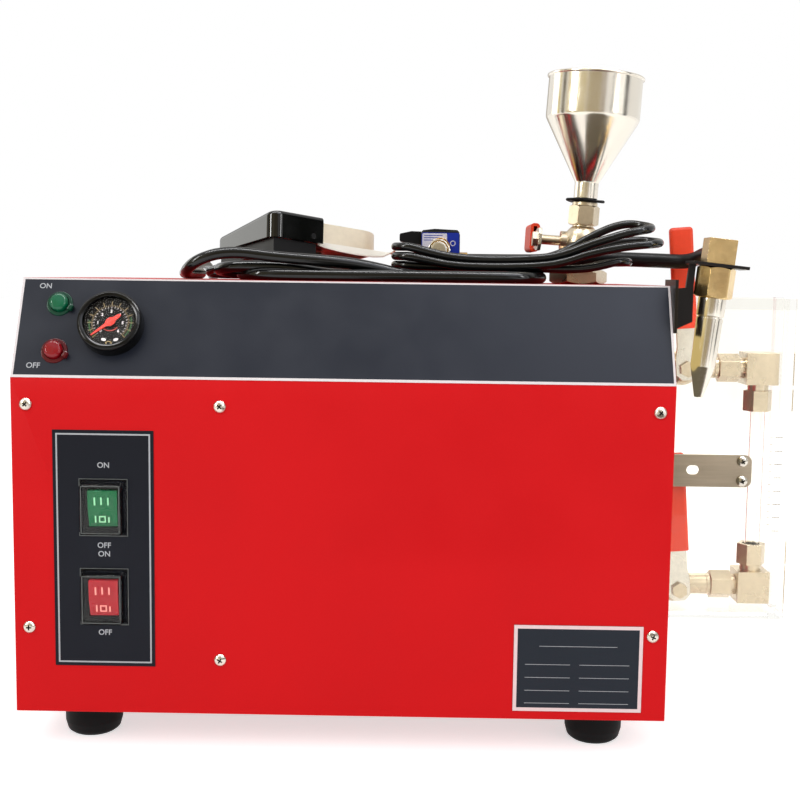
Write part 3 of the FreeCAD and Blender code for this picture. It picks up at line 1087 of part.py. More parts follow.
def foot_pedal():
    origin, rotation = pedal_frame()
    wide = ("sole_inset", "pedal_width - sole_inset")
    sole = box(("sole_inset", "pedal_length"), wide, ("0", "sole_thickness"))
    block = box(("sole_inset", "base_block_length"), wide, ("0", "base_block_height"))
    entry = rod("entry_radius", "entry_length", "entry_u", "pedal_width - sole_inset", "entry_z", "y")
    hole = rod("pedal_cord_diameter / 2", "2 * entry_length", "entry_u", "pedal_width - sole_inset",
               "entry_z", "y")
    pin = rod("tread_pin_radius", "pedal_width - 2 * fit_gap", "tread_pin_x", "fit_gap", "tread_pin_z", "y")
    sub_part("pedal_base", group(cut(fuse(sole, block, entry), hole), pin), origin, rotation)
    floor, wall, end = "base_block_height", "pedal_cover_wall", "pedal_cover_length"
    skin = padded("YZ_Plane", [("0", floor), ("pedal_width", floor), ("pedal_width", "pedal_cover_back"),
                               ("0", "pedal_cover_high")], "0", end)
    corners = rounded(skin, size("pedal_cover_round"), lambda edge: edge.BoundBox.XMax < 0.01
                      and along(edge, Vector(0, 0, 1)))
    soft = rounded(corners, size("pedal_edge_round"), lambda edge: edge.BoundBox.XMin < size(end) - 0.01
                   and edge.BoundBox.ZMin > size("pedal_cover_back") - 0.01)
    far = f"pedal_width - {wall}"
    inside = padded("YZ_Plane", [(wall, floor), (far, floor), (far, f"pedal_cover_back - {wall}"),
                                 (wall, f"pedal_cover_high - {wall}")], wall, end)
    room = rounded(inside, size("pedal_cover_round") - size(wall),
                   lambda edge: edge.BoundBox.XMax < size(wall) + 0.01 and along(edge, Vector(0, 0, 1)))
    pin_hole = rod("tread_pin_radius", "2 * pedal_width", "tread_pin_x", "-pedal_width / 2",
                   "tread_pin_z", "y")
    sub_part("pedal_cover", cut(soft, room, pin_hole), origin, rotation)
    near, beyond = "tread_inset", "pedal_width - tread_inset"
    plate = padded("YZ_Plane", [(near, "tread_low"), (beyond, "tread_low"), (beyond, "tread_back"),
                                (near, "tread_high")], "tread_left", "tread_right")
    bent = rounded(plate, size("tread_round"), lambda edge: along(edge, Vector(0, 0, 1))
                   and edge.BoundBox.XMin > size("tread_right") - 0.01)
    under = "tread_low - tread_wall"
    inner = padded("YZ_Plane", [(f"{near} + tread_wall", under), (f"{beyond} - tread_wall", under),
                                (f"{beyond} - tread_wall", "tread_back - tread_wall"),
                                (f"{near} + tread_wall", "tread_high - tread_wall")],
                   "tread_left - tread_wall", "tread_right - tread_wall")
    inner_end = size("tread_right") - size("tread_wall")
    hollow = rounded(inner, size("tread_round") - size("tread_wall"),
                     lambda edge: along(edge, Vector(0, 0, 1)) and edge.BoundBox.XMin > inner_end - 0.01)
    pivot = rod("tread_pin_radius + tread_pin_clearance", "2 * pedal_width", "tread_pin_x",
                "-pedal_width / 2", "tread_pin_z", "y")
    sub_part("pedal_tread", cut(bent, hollow, pivot), origin, rotation)
    height = "(tread_high + tread_back) / 2 - tread_wall - sole_thickness - spring_slack"
    coil = rod("spring_radius", height, "spring_x", "pedal_width / 2", "sole_thickness")
    core = rod("spring_radius - spring_wire", height, "spring_x", "pedal_width / 2", "sole_thickness")
    sub_part("pedal_spring", cut(coil, core), origin, rotation)


# --- cords ----------------------------------------------------------------------------------------

def cord_glands():
    """The strain reliefs in the back wall, one for each cord."""
    glands = []
    z = "foot_height + gland_z"
    for x, diameter in (("power_gland_x", "power_cord_diameter"), ("pedal_gland_x", "pedal_cord_diameter")):
        inner = rod("gland_radius", "4 * sheet", x, "cabinet_depth - 4 * sheet", z, "y")
        nut = hexagon("gland_hex", "gland_nut_height", x, "cabinet_depth", z, "y")
        tail = cone("gland_radius", f"{diameter} / 2 + gland_tip_wall", "gland_tail - gland_nut_height",
                    x, "cabinet_depth + gland_nut_height", z, "y")
        hole = rod(f"{diameter} / 2", "cabinet_depth", x, "cabinet_depth - 5 * sheet", z, "y")
        glands.append(cut(fuse(inner, nut, tail), hole))
    sub_part("cord_glands", group(*glands))


def power_plug():
    """The three-pin plug, lying on the cabinet's top behind the valves."""
    half = "plug_width / 2"
    points = [(f"plug_x - {half} / 2", "plug_y"), (f"plug_x + {half} / 2", "plug_y"),
              (f"plug_x + {half}", "plug_y + plug_length / 2"), (f"plug_x + {half}", "plug_y + plug_length"),
              (f"plug_x - {half}", "plug_y + plug_length"), (f"plug_x - {half}", "plug_y + plug_length / 2")]
    body = padded("XY_Plane", points, f"{TOP} + fit_gap", f"{TOP} + fit_gap + plug_height")
    end = "plug_y + plug_length"
    low = f"{TOP} + plug_height / 2"
    pins = [box((f"plug_x + {side} * plug_pin_spacing / 2 - plug_pin_thickness / 2",
                 f"plug_x + {side} * plug_pin_spacing / 2 + plug_pin_thickness / 2"),
                (end, f"{end} + plug_pin_length"), (f"{low} - plug_pin_width", low)) for side in (-1, 1)]
    earth = rod("plug_pin_width / 3", "plug_pin_length", "plug_x", end, f"{low} + plug_pin_width / 2", "y")
    sub_part("power_plug", fuse(body, *pins, earth))


def prism_hank(label, slabs):
    """A hank's outer shape: flat prisms of a side outline, each between two depths."""
    pieces = [padded("XZ_Plane", [(str(x), f"{TOP} + {z}") for x, z in points], str(low), str(high))
              for points, low, high in slabs]
    sub_part(label, fuse(*pieces) if len(pieces) > 1 else group(*pieces))


def cords():
    back = size("cabinet_depth") + size("gland_tail")
    exit_z = size("foot_height") + size("gland_z")
    top = size("foot_height") + size("cabinet_height")
    power_x = size("power_gland_x")
    pedal_x = size("pedal_gland_x")
    power = size("power_cord_diameter") / 2
    pedal = size("pedal_cord_diameter") / 2
    power_floor = top + power + 0.3
    pedal_floor = top + pedal + 0.3
    over_back = top + 12
    power_out = [(power_x, back, exit_z), (power_x, back + 36, exit_z), (power_x, back + 66, exit_z + 30),
                 (power_x, back + 70, exit_z + 76), (power_x, back + 46, exit_z + 120),
                 (power_x, back + 8, over_back), (power_x - 1, back - 30, over_back),
                 (power_x - 2, back - 70, power_floor + 2), (power_x, 155, power_floor),
                 (power_x + 9.5, 128, power_floor), (power_x + 22.7, 110, power_floor),
                 (power_x + 23, POWER_HANK_BACK, power_floor)]
    plug = (size("plug_x"), size("plug_y"), top + size("plug_height") / 2)
    power_end = [(130, POWER_HANK_BACK, power_floor), (131, 108, power_floor),
                 (129.5, 127, power_floor + 1.5), (127, 148, top + 9.8), plug]
    tube_part("power_cord", [power_out, power_end], power)
    pedal_out = [(pedal_x, back, exit_z), (pedal_x, back + 34, exit_z), (pedal_x, back + 62, exit_z + 28),
                 (pedal_x + 1, back + 66, exit_z + 72), (pedal_x + 2, back + 42, exit_z + 114),
                 (pedal_x + 4, back + 6, over_back - 3), (pedal_x + 7, back - 30, over_back - 3),
                 (84, 192, pedal_floor + 1), (91, 156, pedal_floor), (95, 127, pedal_floor + 1),
                 (97, 107, top + 10), (97, PEDAL_HANK_BACK, top + 14)]
    origin, rotation = pedal_frame()
    corner = Vector(size("pedal_x"), size("pedal_y"), top + size("pedal_lift"))
    mouth = Vector(size("entry_u"), size("pedal_width") - size("sole_inset") + size("entry_length"),
                   size("entry_z"))
    entry = corner + rotation.multVec(mouth)
    outward = rotation.multVec(Vector(0, 1, 0))
    pedal_end = [(82, PEDAL_HANK_BACK, top + 17), (82.5, 103, top + 13), (84, 129, pedal_floor + 1),
                 (81, 157, pedal_floor), (63, 185, pedal_floor), (26, 204, pedal_floor),
                 (-16, 214, pedal_floor), (-58, 225, pedal_floor), (-94, 226, pedal_floor),
                 (-116.5, 212, pedal_floor), (-118, 191, pedal_floor + 2.5), tuple(entry + outward * 22),
                 tuple(entry)]
    tube_part("pedal_cord", [pedal_out, pedal_end], pedal)
    prism_hank("power_cord_hank", [
        ([(-103, 0.2), (-110, 7), (-105, 12), (-95, 17), (-85, 20.6), (-72, 21.3), (-57, 19.5), (-42, 18),
          (-18, 16.5), (5, 14.6), (28, 8.2), (28, 0.2)], 30, 48),
        ([(-111, 0.2), (-111, 8), (-102, 8), (-102, 0.2)], 47, POWER_HANK_BACK),
        ([(-76, 0.2), (-76, 8), (134, 8), (134, 0.2)], 30, POWER_HANK_BACK)])
    prism_hank("pedal_cord_hank", [
        ([(28, 8.3), (26, 17), (29, 27), (45, 23.5), (70, 19.5), (112, 18.5), (144, 22), (158, 30), (177, 38),
          (195, 41.5), (206, 40), (212, 31), (210, 22), (190, 13), (150, 8.3)], 45, PEDAL_HANK_BACK)])


def build():
    base_tray()
    cabinet_shell()
    front_panel()
    labels()
    panel_screws()
    rubber_feet()
    boiler_tank()
    heating_element()
    pressure_switch()
    safety_valve()
    gauge_pipe()
    pressure_gauge()
    push_buttons()
    rocker_switches()
    filling_stack()
    pipe_nuts()
    level_gauge()
    gauge_strap()
    gauge_guard()
    nozzle_bracket()
    steam_nozzle()
    steam_hose()
    solenoid()
    foot_pedal()
    cord_glands()
    power_plug()
    cords()


def check():
    """Stop if any object failed or any sub-part has no valid solid."""
    for item in doc.Objects:
        if "Invalid" in item.State or "Error" in item.State:
            raise RuntimeError(f"{item.Label} failed: {item.State}")
    for piece in sub_parts:
        shape = piece.Shape
        if shape.isNull() or not shape.isValid() or not shape.Solids:
            raise RuntimeError(f"{piece.Label} has no valid shape")


build()
doc.recompute()
check()
os.makedirs("parts", exist_ok=True)
for piece in sub_parts:
    piece.Shape.exportStep(f"parts/{piece.Label}.step")
print(f"{len(sub_parts)} sub-parts")
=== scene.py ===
"""A bench-top jewellery steam cleaner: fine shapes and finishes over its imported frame.

Lengths are in millimetres from the cabinet's middle (x), its front (y) and the floor (z), until a place
matrix takes them to the frame.
"""

import json
import math

import bmesh
import bpy
from mathutils import Matrix, Vector

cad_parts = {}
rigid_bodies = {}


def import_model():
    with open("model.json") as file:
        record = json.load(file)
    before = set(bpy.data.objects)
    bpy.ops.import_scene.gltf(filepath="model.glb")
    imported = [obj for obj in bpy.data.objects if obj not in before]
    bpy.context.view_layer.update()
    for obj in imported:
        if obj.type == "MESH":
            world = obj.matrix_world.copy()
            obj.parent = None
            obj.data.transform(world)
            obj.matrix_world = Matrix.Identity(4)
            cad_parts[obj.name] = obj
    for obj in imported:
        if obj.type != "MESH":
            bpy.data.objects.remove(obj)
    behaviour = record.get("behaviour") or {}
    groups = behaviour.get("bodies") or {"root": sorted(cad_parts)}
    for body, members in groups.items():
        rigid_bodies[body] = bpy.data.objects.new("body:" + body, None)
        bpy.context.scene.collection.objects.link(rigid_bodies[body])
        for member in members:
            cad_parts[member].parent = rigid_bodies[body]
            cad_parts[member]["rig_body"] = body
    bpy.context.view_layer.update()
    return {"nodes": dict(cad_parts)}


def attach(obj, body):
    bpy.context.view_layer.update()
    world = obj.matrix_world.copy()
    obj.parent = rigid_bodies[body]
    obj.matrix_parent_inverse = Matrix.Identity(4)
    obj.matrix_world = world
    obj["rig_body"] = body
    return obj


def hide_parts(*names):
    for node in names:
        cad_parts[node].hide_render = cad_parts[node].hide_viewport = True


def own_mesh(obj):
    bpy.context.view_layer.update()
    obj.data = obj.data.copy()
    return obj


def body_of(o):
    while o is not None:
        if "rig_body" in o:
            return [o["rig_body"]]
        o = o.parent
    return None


for spare in list(bpy.data.objects):
    bpy.data.objects.remove(spare, do_unlink=True)
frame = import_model()

# The cabinet: its top, its back, and the console's lower edge, lean and length up the slope.
TOP = 306.0
BACK = 264.0
CORNER = 243.0
TILT = math.radians(25.5)
SLOPE = 69.8
# On the front panel and on the console: the switches, the pressure gauge and the push buttons.
SWITCH_X = -151.6
SWITCHES = (161.0, 103.0)
GAUGE = (-148.5, 35.8)
BUTTON_X = -184.0
BUTTON_ON, BUTTON_OFF = 51.2, 18.5
# The thickness of a printed film and of the ink on it.
FILM = 0.4
INK_DEPTH = 0.06
FEET = [(x, y) for x in (-170, 170) for y in (40, 200)]
# The cords: where they leave the back wall, and how thick they are.
POWER_EXIT, PEDAL_EXIT = (-130, BACK, 176), (70, BACK, 176)
POWER_CORD, PEDAL_CORD = 7.6, 5.6
SQUARE = ((-1, -1), (1, -1), (1, 1), (-1, 1))
CABINET = Matrix.Translation((-0.051, -0.130, 0)) @ Matrix.Scale(0.001, 4)


def turn(degrees, axis):
    return Matrix.Rotation(math.radians(degrees), 4, axis)


def shift(x=0.0, y=0.0, z=0.0):
    return Matrix.Translation((x, y, z))


def at(x=0.0, y=0.0, z=0.0):
    """A place in the cabinet's frame."""
    return CABINET @ shift(x, y, z)


def on_front(x, z, out=0.0):
    """A place on the front panel: x to the right, y up and z towards the user."""
    return at(x, -out, z) @ turn(90, "X")


def on_console(x, s, out=0.0):
    """A place on the sloping console: x to the right, y up the slope and z away from it."""
    place = at(x, s * math.sin(TILT), CORNER + s * math.cos(TILT))
    return place @ Matrix.Rotation(math.pi / 2 - TILT, 4, "X") @ shift(z=out)


def placed(name, data):
    """A new object, linked to the scene."""
    made = bpy.data.objects.new(name, data)
    bpy.context.scene.collection.objects.link(made)
    return made


def plain_mesh(thing):
    """The mesh that an object shows, with its modifiers taken in."""
    return bpy.data.meshes.new_from_object(thing.evaluated_get(bpy.context.evaluated_depsgraph_get()))


def melted(thing):
    """The mesh that an object shows, in place of the object."""
    mesh = plain_mesh(thing)
    bpy.data.objects.remove(thing)
    return mesh


# The middles of the filling stack, of the nozzle's block and of the pedal's own frame.
STACK = at(162.5, 120, TOP) @ turn(3.5, "Y")
SPOUT = at(239.8, 30, 319.5) @ turn(6, "Y")
PEDAL = at(-53.5, 76, TOP + 20.8) @ turn(-10.1, "X") @ turn(38, "Z")


# --- camera ---------------------------------------------------------------------------------------

def set_camera():
    yaw, pitch, roll = (math.radians(angle) for angle in (-0.558, 5.886, 0.7536))
    ahead = Vector((math.sin(yaw) * math.cos(pitch), math.cos(yaw) * math.cos(pitch), -math.sin(pitch)))
    level = Vector((math.cos(yaw), -math.sin(yaw), 0))
    upright = level.cross(ahead)
    across = level * math.cos(roll) + upright * math.sin(roll)
    upward = upright * math.cos(roll) - level * math.sin(roll)
    lens = bpy.data.cameras.new("view_camera")
    lens.lens = 54
    lens.sensor_width = 36
    lens.clip_start = 0.01
    lens.clip_end = 60
    camera = placed("view_camera", lens)
    aim = Matrix((across, upward, -ahead)).transposed().to_4x4()
    camera.matrix_world = shift(-0.00733, -0.8822, 0.3099) @ aim
    bpy.context.scene.camera = camera


set_camera()


# --- shader groups and finishes -------------------------------------------------------------------

def rgb(red, green, blue):
    """A linear colour from the usual 0 to 255 numbers."""
    return tuple(((c / 255 + 0.055) / 1.055) ** 2.4 if c > 10.3 else c / 255 / 12.92
                 for c in (red, green, blue)) + (1.0,)


FLOAT, VECTOR, WHOLE = "NodeSocketFloat", "NodeSocketVector", "NodeSocketInt"


def new_tree(name, kind, inputs, outputs):
    """A node tree of its own, its entry sockets and the sockets that take its results."""
    tree = bpy.data.node_groups.new(name, kind)
    for label, sort, *value in inputs:
        socket = tree.interface.new_socket(label, in_out="INPUT", socket_type=sort)
        if value:
            socket.default_value = value[0]
    for label, sort in outputs:
        tree.interface.new_socket(label, in_out="OUTPUT", socket_type=sort)
    return tree, tree.nodes.new("NodeGroupInput").outputs, tree.nodes.new("NodeGroupOutput").inputs


def wire(tree, sockets, links):
    """Gives sockets their links or values."""
    for socket, value in dict(links).items():
        if isinstance(value, bpy.types.NodeSocket):
            tree.links.new(value, sockets[socket])
        else:
            sockets[socket].default_value = value


def add(tree, kind, links=(), **settings):
    """A node with its settings, and with links or values for its sockets."""
    made = tree.nodes.new(kind)
    for key, value in settings.items():
        setattr(made, key, value)
    wire(tree, made.inputs, links)
    return made


def maths(tree, operation, *values):
    return add(tree, "ShaderNodeMath", enumerate(values), operation=operation).outputs[0]


def mapped(tree, value, from_low=0.0, from_high=1.0, to_low=0.0, to_high=1.0):
    """A value carried from one range to another."""
    return add(tree, "ShaderNodeMapRange", {
        "Value": value, "From Min": from_low, "From Max": from_high, "To Min": to_low,
        "To Max": to_high}).outputs[0]


def noise(tree, spot, scale, detail, roughness=0.5):
    return add(tree, "ShaderNodeTexNoise", {"Vector": spot, "Scale": scale, "Detail": detail,
                                            "Roughness": roughness}).outputs[0]


def blended(tree, share, first, second):
    """One colour turning into another."""
    return add(tree, "ShaderNodeMix", {0: share, 6: first, 7: second}, data_type="RGBA").outputs[2]


def grain_group():
    """Fine relief and tone that may be stretched into brush lines."""
    group, ins, outs = new_tree(
        "surface_grain", "ShaderNodeTree",
        [("Scale", FLOAT, 500), ("Stretch", VECTOR, (1, 1, 1)), ("Detail", FLOAT, 3)],
        [("Height", FLOAT), ("Tone", FLOAT)])
    spot = add(group, "ShaderNodeTexCoord").outputs["Object"]
    drawn = add(group, "ShaderNodeVectorMath", {0: spot, 1: ins["Stretch"]}, operation="MULTIPLY")
    fine = noise(group, drawn.outputs[0], ins["Scale"], ins["Detail"], 0.6)
    tone = maths(group, "ADD", fine, noise(group, spot, 14, 2))
    wire(group, outs, {"Height": fine, "Tone": mapped(group, tone, 0.72, 1.28)})
    return group


def smudge_group():
    """Roughness that drifts between two values, as handling leaves it."""
    group, ins, outs = new_tree(
        "handling_smudges", "ShaderNodeTree",
        [("Low", FLOAT, 0.3), ("High", FLOAT, 0.4), ("Scale", FLOAT, 28)], [("Roughness", FLOAT)])
    spot = add(group, "ShaderNodeTexCoord").outputs["Object"]
    cloud = noise(group, spot, ins["Scale"], 4)
    wire(group, outs, {"Roughness": mapped(group, cloud, 0.35, 0.65, ins["Low"], ins["High"])})
    return group


def edge_group():
    """A mask along outer edges, where a lighter colour is painted on as a highlight."""
    group, ins, outs = new_tree(
        "painted_edge_highlight", "ShaderNodeTree", [("Radius", FLOAT, 0.0008), ("Amount", FLOAT, 0.5)],
        [("Mask", FLOAT)])
    soft = add(group, "ShaderNodeBevel", {"Radius": ins["Radius"]}, samples=4)
    flat = add(group, "ShaderNodeNewGeometry").outputs["Normal"]
    same = add(group, "ShaderNodeVectorMath", {0: soft.outputs[0], 1: flat}, operation="DOT_PRODUCT")
    rough = noise(group, add(group, "ShaderNodeTexCoord").outputs["Object"], 260, 3)
    broken = maths(group, "MULTIPLY", mapped(group, same.outputs["Value"], 0.995, 0.88), rough)
    wire(group, outs, {"Mask": maths(group, "MULTIPLY", broken, ins["Amount"])})
    return group


GRAIN, SMUDGE, EDGE = grain_group(), smudge_group(), edge_group()


def toned(colour, share):
    return tuple(min(1.0, channel * share) for channel in rgb(*colour)[:3]) + (1.0,)


def finish(name, colour, roughness, metallic=0.0, scale=500.0, stretch=(1, 1, 1), tone=0.05, relief=0.1,
           depth=0.02, smudge=0.06, shine=0.5, edge_highlight=None, clear=None, index=1.5):
    """A finish: a toned colour, drifting roughness and fine relief.

    A second, lighter colour may be painted along outer edges as a highlight. A clear finish lets light
    through and casts that much less shadow.
    """
    made = bpy.data.materials.new(name)
    made.use_nodes = True
    tree = made.node_tree
    shader = tree.nodes["Principled BSDF"].inputs
    grain = add(tree, "ShaderNodeGroup", {"Scale": scale, "Stretch": stretch}, node_tree=GRAIN)
    base = blended(tree, grain.outputs["Tone"], toned(colour, 1 - tone), toned(colour, 1 + tone))
    # Painted highlight: the edges take a lighter colour through the edge mask.
    if edge_highlight:
        edge = add(tree, "ShaderNodeGroup", node_tree=EDGE)
        base = blended(tree, edge.outputs["Mask"], base, rgb(*edge_highlight))
    cloud = add(tree, "ShaderNodeGroup", {"Low": max(0.01, roughness - smudge), "High": roughness + smudge},
                node_tree=SMUDGE)
    bump = add(tree, "ShaderNodeBump", {"Strength": relief, "Distance": depth / 1000,
                                        "Height": grain.outputs["Height"]})
    wire(tree, shader, {"Base Color": base, "Metallic": metallic, "Specular IOR Level": shine,
                        "Roughness": cloud.outputs["Roughness"], "Normal": bump.outputs[0]})
    if clear:
        shade = add(tree, "ShaderNodeLightPath").outputs["Is Shadow Ray"]
        wire(tree, shader, {"Transmission Weight": 1.0, "IOR": index,
                            "Alpha": mapped(tree, shade, to_low=1.0, to_high=1 - clear)})
    return made


def film(name, colour, roughness, shine):
    return finish(name, colour, roughness, scale=1400, tone=0.06, relief=0.12, shine=shine)


def ink(name, colour, tone=0.03, roughness=0.5):
    return finish(name, colour, roughness, tone=tone, shine=0.2)


def see_through(name, colour, roughness, index, clear=0.95):
    return finish(name, colour, roughness, tone=0.01, relief=0.0, smudge=0.01, clear=clear, index=index)


# The lighter edge colours of the red, nickel and black finishes below are painted highlights along edges.
RED = finish("red_powder_coat", (211, 20, 25), 0.4, scale=900, tone=0.035, relief=0.16, shine=0.1,
             edge_highlight=(236, 92, 84))
CONSOLE = film("console_film", (33, 37, 48), 0.34, 0.25)
LABEL = film("label_film", (24, 26, 34), 0.36, 0.12)
PLATE = film("plate_film", (38, 43, 51), 0.36, 0.12)
PLATE_INK = ink("plate_ink", (238, 212, 212))
INK = ink("white_ink", (228, 220, 220))
PALE_INK = ink("pale_ink", (178, 180, 184), 0.04)
GUARD_INK = finish("guard_ink", (150, 140, 130), 0.6, tone=0.12, scale=300)
ZINC = finish("zinc_plate", (214, 208, 196), 0.27, 1.0, tone=0.08, scale=260, relief=0.12)
RECESS = finish("screw_recess", (42, 40, 38), 0.5, 0.6, tone=0.1)
STEEL = finish("brushed_steel", (196, 181, 160), 0.36, 1.0, scale=420, stretch=(0.06, 1, 1), tone=0.1,
               relief=0.25, depth=0.03)
# Painted reflection: the steel lip gets a near-white non-metal colour for the bright surroundings it
# reflects.
LIP_PAINTED_REFLECTION = finish("lip_painted_reflection", (252, 248, 236), 0.45, scale=60, tone=0.03, relief=0.02)
SPUN = finish("spun_steel", (226, 219, 206), 0.2, 1.0, scale=120, stretch=(1, 1, 0.2), tone=0.03,
              relief=0.02)
# Partly painted reflection: the steel tread's cream colour stands partly for the bright surroundings it
# reflects.
CREAM_STEEL = finish("cream_steel_painted_reflection", (240, 230, 206), 0.42, 0.3, scale=260, tone=0.05, relief=0.08)
NICKEL = finish("nickel_plate", (204, 189, 164), 0.3, 1.0, scale=300, tone=0.09, relief=0.16, depth=0.03,
                smudge=0.08)
WARM_NICKEL = finish("worn_nickel", (238, 208, 150), 0.24, 1.0, scale=300, tone=0.12, relief=0.14,
                     edge_highlight=(240, 216, 150))
BRASS = finish("brass", (186, 146, 78), 0.3, 1.0, scale=300, tone=0.1, relief=0.14)
COPPER = finish("copper", (184, 110, 76), 0.28, 1.0, scale=240, tone=0.1)
BLACK_STEEL = finish("black_sheet_steel", (22, 18, 18), 0.34, scale=700, tone=0.1, relief=0.14, shine=0.25,
                     edge_highlight=(92, 74, 62))
RUBBER = finish("foot_rubber", (16, 16, 17), 0.62, scale=800, tone=0.14, relief=0.3, depth=0.05, shine=0.15)
BLACK = finish("black_plastic", (15, 15, 17), 0.4, scale=1100, tone=0.1, relief=0.22, depth=0.03,
               shine=0.15, edge_highlight=(44, 44, 46))
GLOSS = finish("gloss_black_plastic", (7, 8, 7), 0.1, scale=200, tone=0.1, relief=0.03, smudge=0.04)
RIM = finish("gauge_rim_enamel", (7, 7, 7), 0.16, scale=200, tone=0.1, relief=0.03, smudge=0.04, shine=0.25)
CORD = finish("cord_sheath", (8, 9, 9), 0.2, scale=700, tone=0.16, smudge=0.05, shine=0.4)
HOSE = finish("hose_rubber", (16, 16, 17), 0.42, scale=900, tone=0.14, relief=0.25, shine=0.2)
DIAL = finish("dial_face", (15, 13, 10), 0.5, scale=900, tone=0.12, shine=0.1)
CORAL = ink("pointer_paint", (222, 62, 50), 0.05, 0.4)
AMBER = ink("dial_print", (206, 178, 124), 0.05)
DIAL_GREEN = ink("dial_green", (62, 118, 62), 0.08)
DIAL_RED = ink("dial_red", (186, 62, 48), 0.08)
GREEN_BUTTON = finish("green_lens", (4, 98, 64), 0.16, scale=260, tone=0.08, shine=0.4)
RED_BUTTON = finish("red_lens", (140, 10, 22), 0.16, scale=260, tone=0.08, shine=0.4)
GREEN_COLLAR = finish("green_collar", (6, 62, 44), 0.2, scale=300, tone=0.1, shine=0.3)
RED_COLLAR = finish("red_collar", (88, 8, 16), 0.2, scale=300, tone=0.1, shine=0.3)
GREEN_ROCKER = finish("green_rocker_lens", (10, 92, 54), 0.26, scale=180, tone=0.14, shine=0.3)
RED_ROCKER = finish("red_rocker_lens", (156, 22, 34), 0.26, scale=180, tone=0.12, shine=0.3)
# Painted reflections: pale strokes on the rocker lenses.
GREEN_LENS_REFLECTION = finish("green_lens_painted_reflection", (150, 216, 170), 0.35, tone=0.08)
RED_LENS_REFLECTION = finish("red_lens_painted_reflection", (244, 148, 140), 0.35, tone=0.08)
SLEEVE = finish("sleeve_vinyl", (240, 70, 36), 0.4, scale=420, relief=0.18, depth=0.04, shine=0.25)
BOOT = finish("clear_boot_silicone", (250, 250, 247), 0.08, tone=0.02, relief=0.02, clear=0.95, index=1.2)
LENS = see_through("gauge_lens_glass", (250, 250, 250), 0.02, 1.12)
GLASS = see_through("sight_glass_tube", (252, 252, 250), 0.02, 1.4)
ACRYLIC = see_through("clear_acrylic", (253, 252, 248), 0.015, 1.3, 0.97)
# Painted highlight: thin grey lines along the clear boots' edges.
BOOT_EDGE_HIGHLIGHT = finish("painted_boot_edge_highlight", (118, 122, 120), 0.3, tone=0.2, scale=300, shine=0.3)
BLUE = finish("coil_label", (22, 44, 150), 0.36, tone=0.06, shine=0.2)
PANEL = finish("coil_label_panel", (196, 194, 206), 0.45, scale=1500, tone=0.14, shine=0.2)


# --- shapes ---------------------------------------------------------------------------------------

def eased(points, closed=False, steps=4):
    """A flat line whose corners are rounded where they have a third number."""
    line = []
    for index, point in enumerate(points):
        inner = closed or 0 < index < len(points) - 1
        if len(point) < 3 or not inner:
            line.append(tuple(point[:2]))
            continue
        here = Vector(point[:2])
        back = Vector(points[index - 1][:2]) - here
        ahead = Vector(points[(index + 1) % len(points)][:2]) - here
        half = back.angle(ahead) / 2
        reach = min(point[2] / math.tan(half), 0.49 * back.length, 0.49 * ahead.length)
        back.normalize()
        ahead.normalize()
        centre = here + (back + ahead).normalized() * reach / math.cos(half)
        start = here + back * reach - centre
        sweep = start.angle_signed(here + ahead * reach - centre)
        for step in range(steps + 1):
            line.append(tuple(centre + Matrix.Rotation(-sweep * step / steps, 2) @ start))
    return line


def joined(rings):
    """The faces between each ring of point numbers and the next."""
    faces = []
    for low, high in zip(rings, rings[1:]):
        for step in range(len(low)):
            after = (step + 1) % len(low)
            corners = [low[step], low[after], high[after], high[step]]
            faces.append(list(dict.fromkeys(corners)))
    return [face for face in faces if len(face) > 2]


def polar(radius, angle):
    return radius * math.cos(angle), radius * math.sin(angle)


def turned(profile, steps=72, closed=False, ripple=None):
    """A turned shape from (radius, height, corner radius) points; closed for a ring."""
    points, rings = [], []
    for radius, height in eased(profile, closed):
        if radius < 1e-6:
            rings.append([len(points)] * steps)
            points.append((0, 0, height))
            continue
        rings.append(list(range(len(points), len(points) + steps)))
        for step in range(steps):
            angle = 2 * math.pi * step / steps
            lift = ripple(radius, angle) if ripple else 0
            points.append((*polar(radius, angle), height + lift))
    return points, joined(rings + rings[:1] if closed else rings)


def nut(across, height, bore, steps=48):
    """A hexagonal nut with its corners turned off at both ends."""
    corner = 0.97 * across / 2
    sections = []
    for step in range(steps):
        angle = 2 * math.pi * step / steps
        edge = across / 2 / math.cos((angle % (math.pi / 3)) - math.pi / 6)
        drop = max(0.0, edge - corner) * math.tan(math.radians(30))
        inner = min(edge, corner)
        sections.append([(*polar(radius, angle), z) for radius, z in (
            (bore, 0), (inner, 0), (edge, drop), (edge, height - drop), (inner, height), (bore, height))])
    return lofted(list(zip(*sections)), closed=True)


def lofted(outlines, closed=False):
    """Equal outlines joined in order, then back to the first or closed at both ends."""
    count = len(outlines[0])
    points = [point for outline in outlines for point in outline]
    rings = [list(range(level * count, (level + 1) * count)) for level in range(len(outlines))]
    return points, joined(rings + rings[:1]) if closed else joined(rings) + [rings[0][::-1], rings[-1]]


def rectangle(width, height, radius, steps=5):
    return eased([(x * width / 2, y * height / 2, radius) for x, y in SQUARE], True, steps)


def block(width, height, low, high, corner, edge):
    """A block with round upright corners and softened ends."""
    rings = []
    for inset, z in ((edge, low), (0.3 * edge, low + 0.3 * edge), (0, low + edge), (0, high - edge),
                     (0.3 * edge, high - 0.3 * edge), (edge, high)):
        outline = rectangle(width - 2 * inset, height - 2 * inset, max(0.05, corner - inset))
        rings.append([(x, y, z) for x, y in outline])
    return lofted(rings)


def plate(outline, low, high):
    """A flat outline given a thickness."""
    return lofted([[(x, y, low) for x, y in outline], [(x, y, high) for x, y in outline]])


def bar(left, right, low, high, thickness, base=0.0):
    return plate([(left, low), (right, low), (right, high), (left, high)], base, base + thickness)


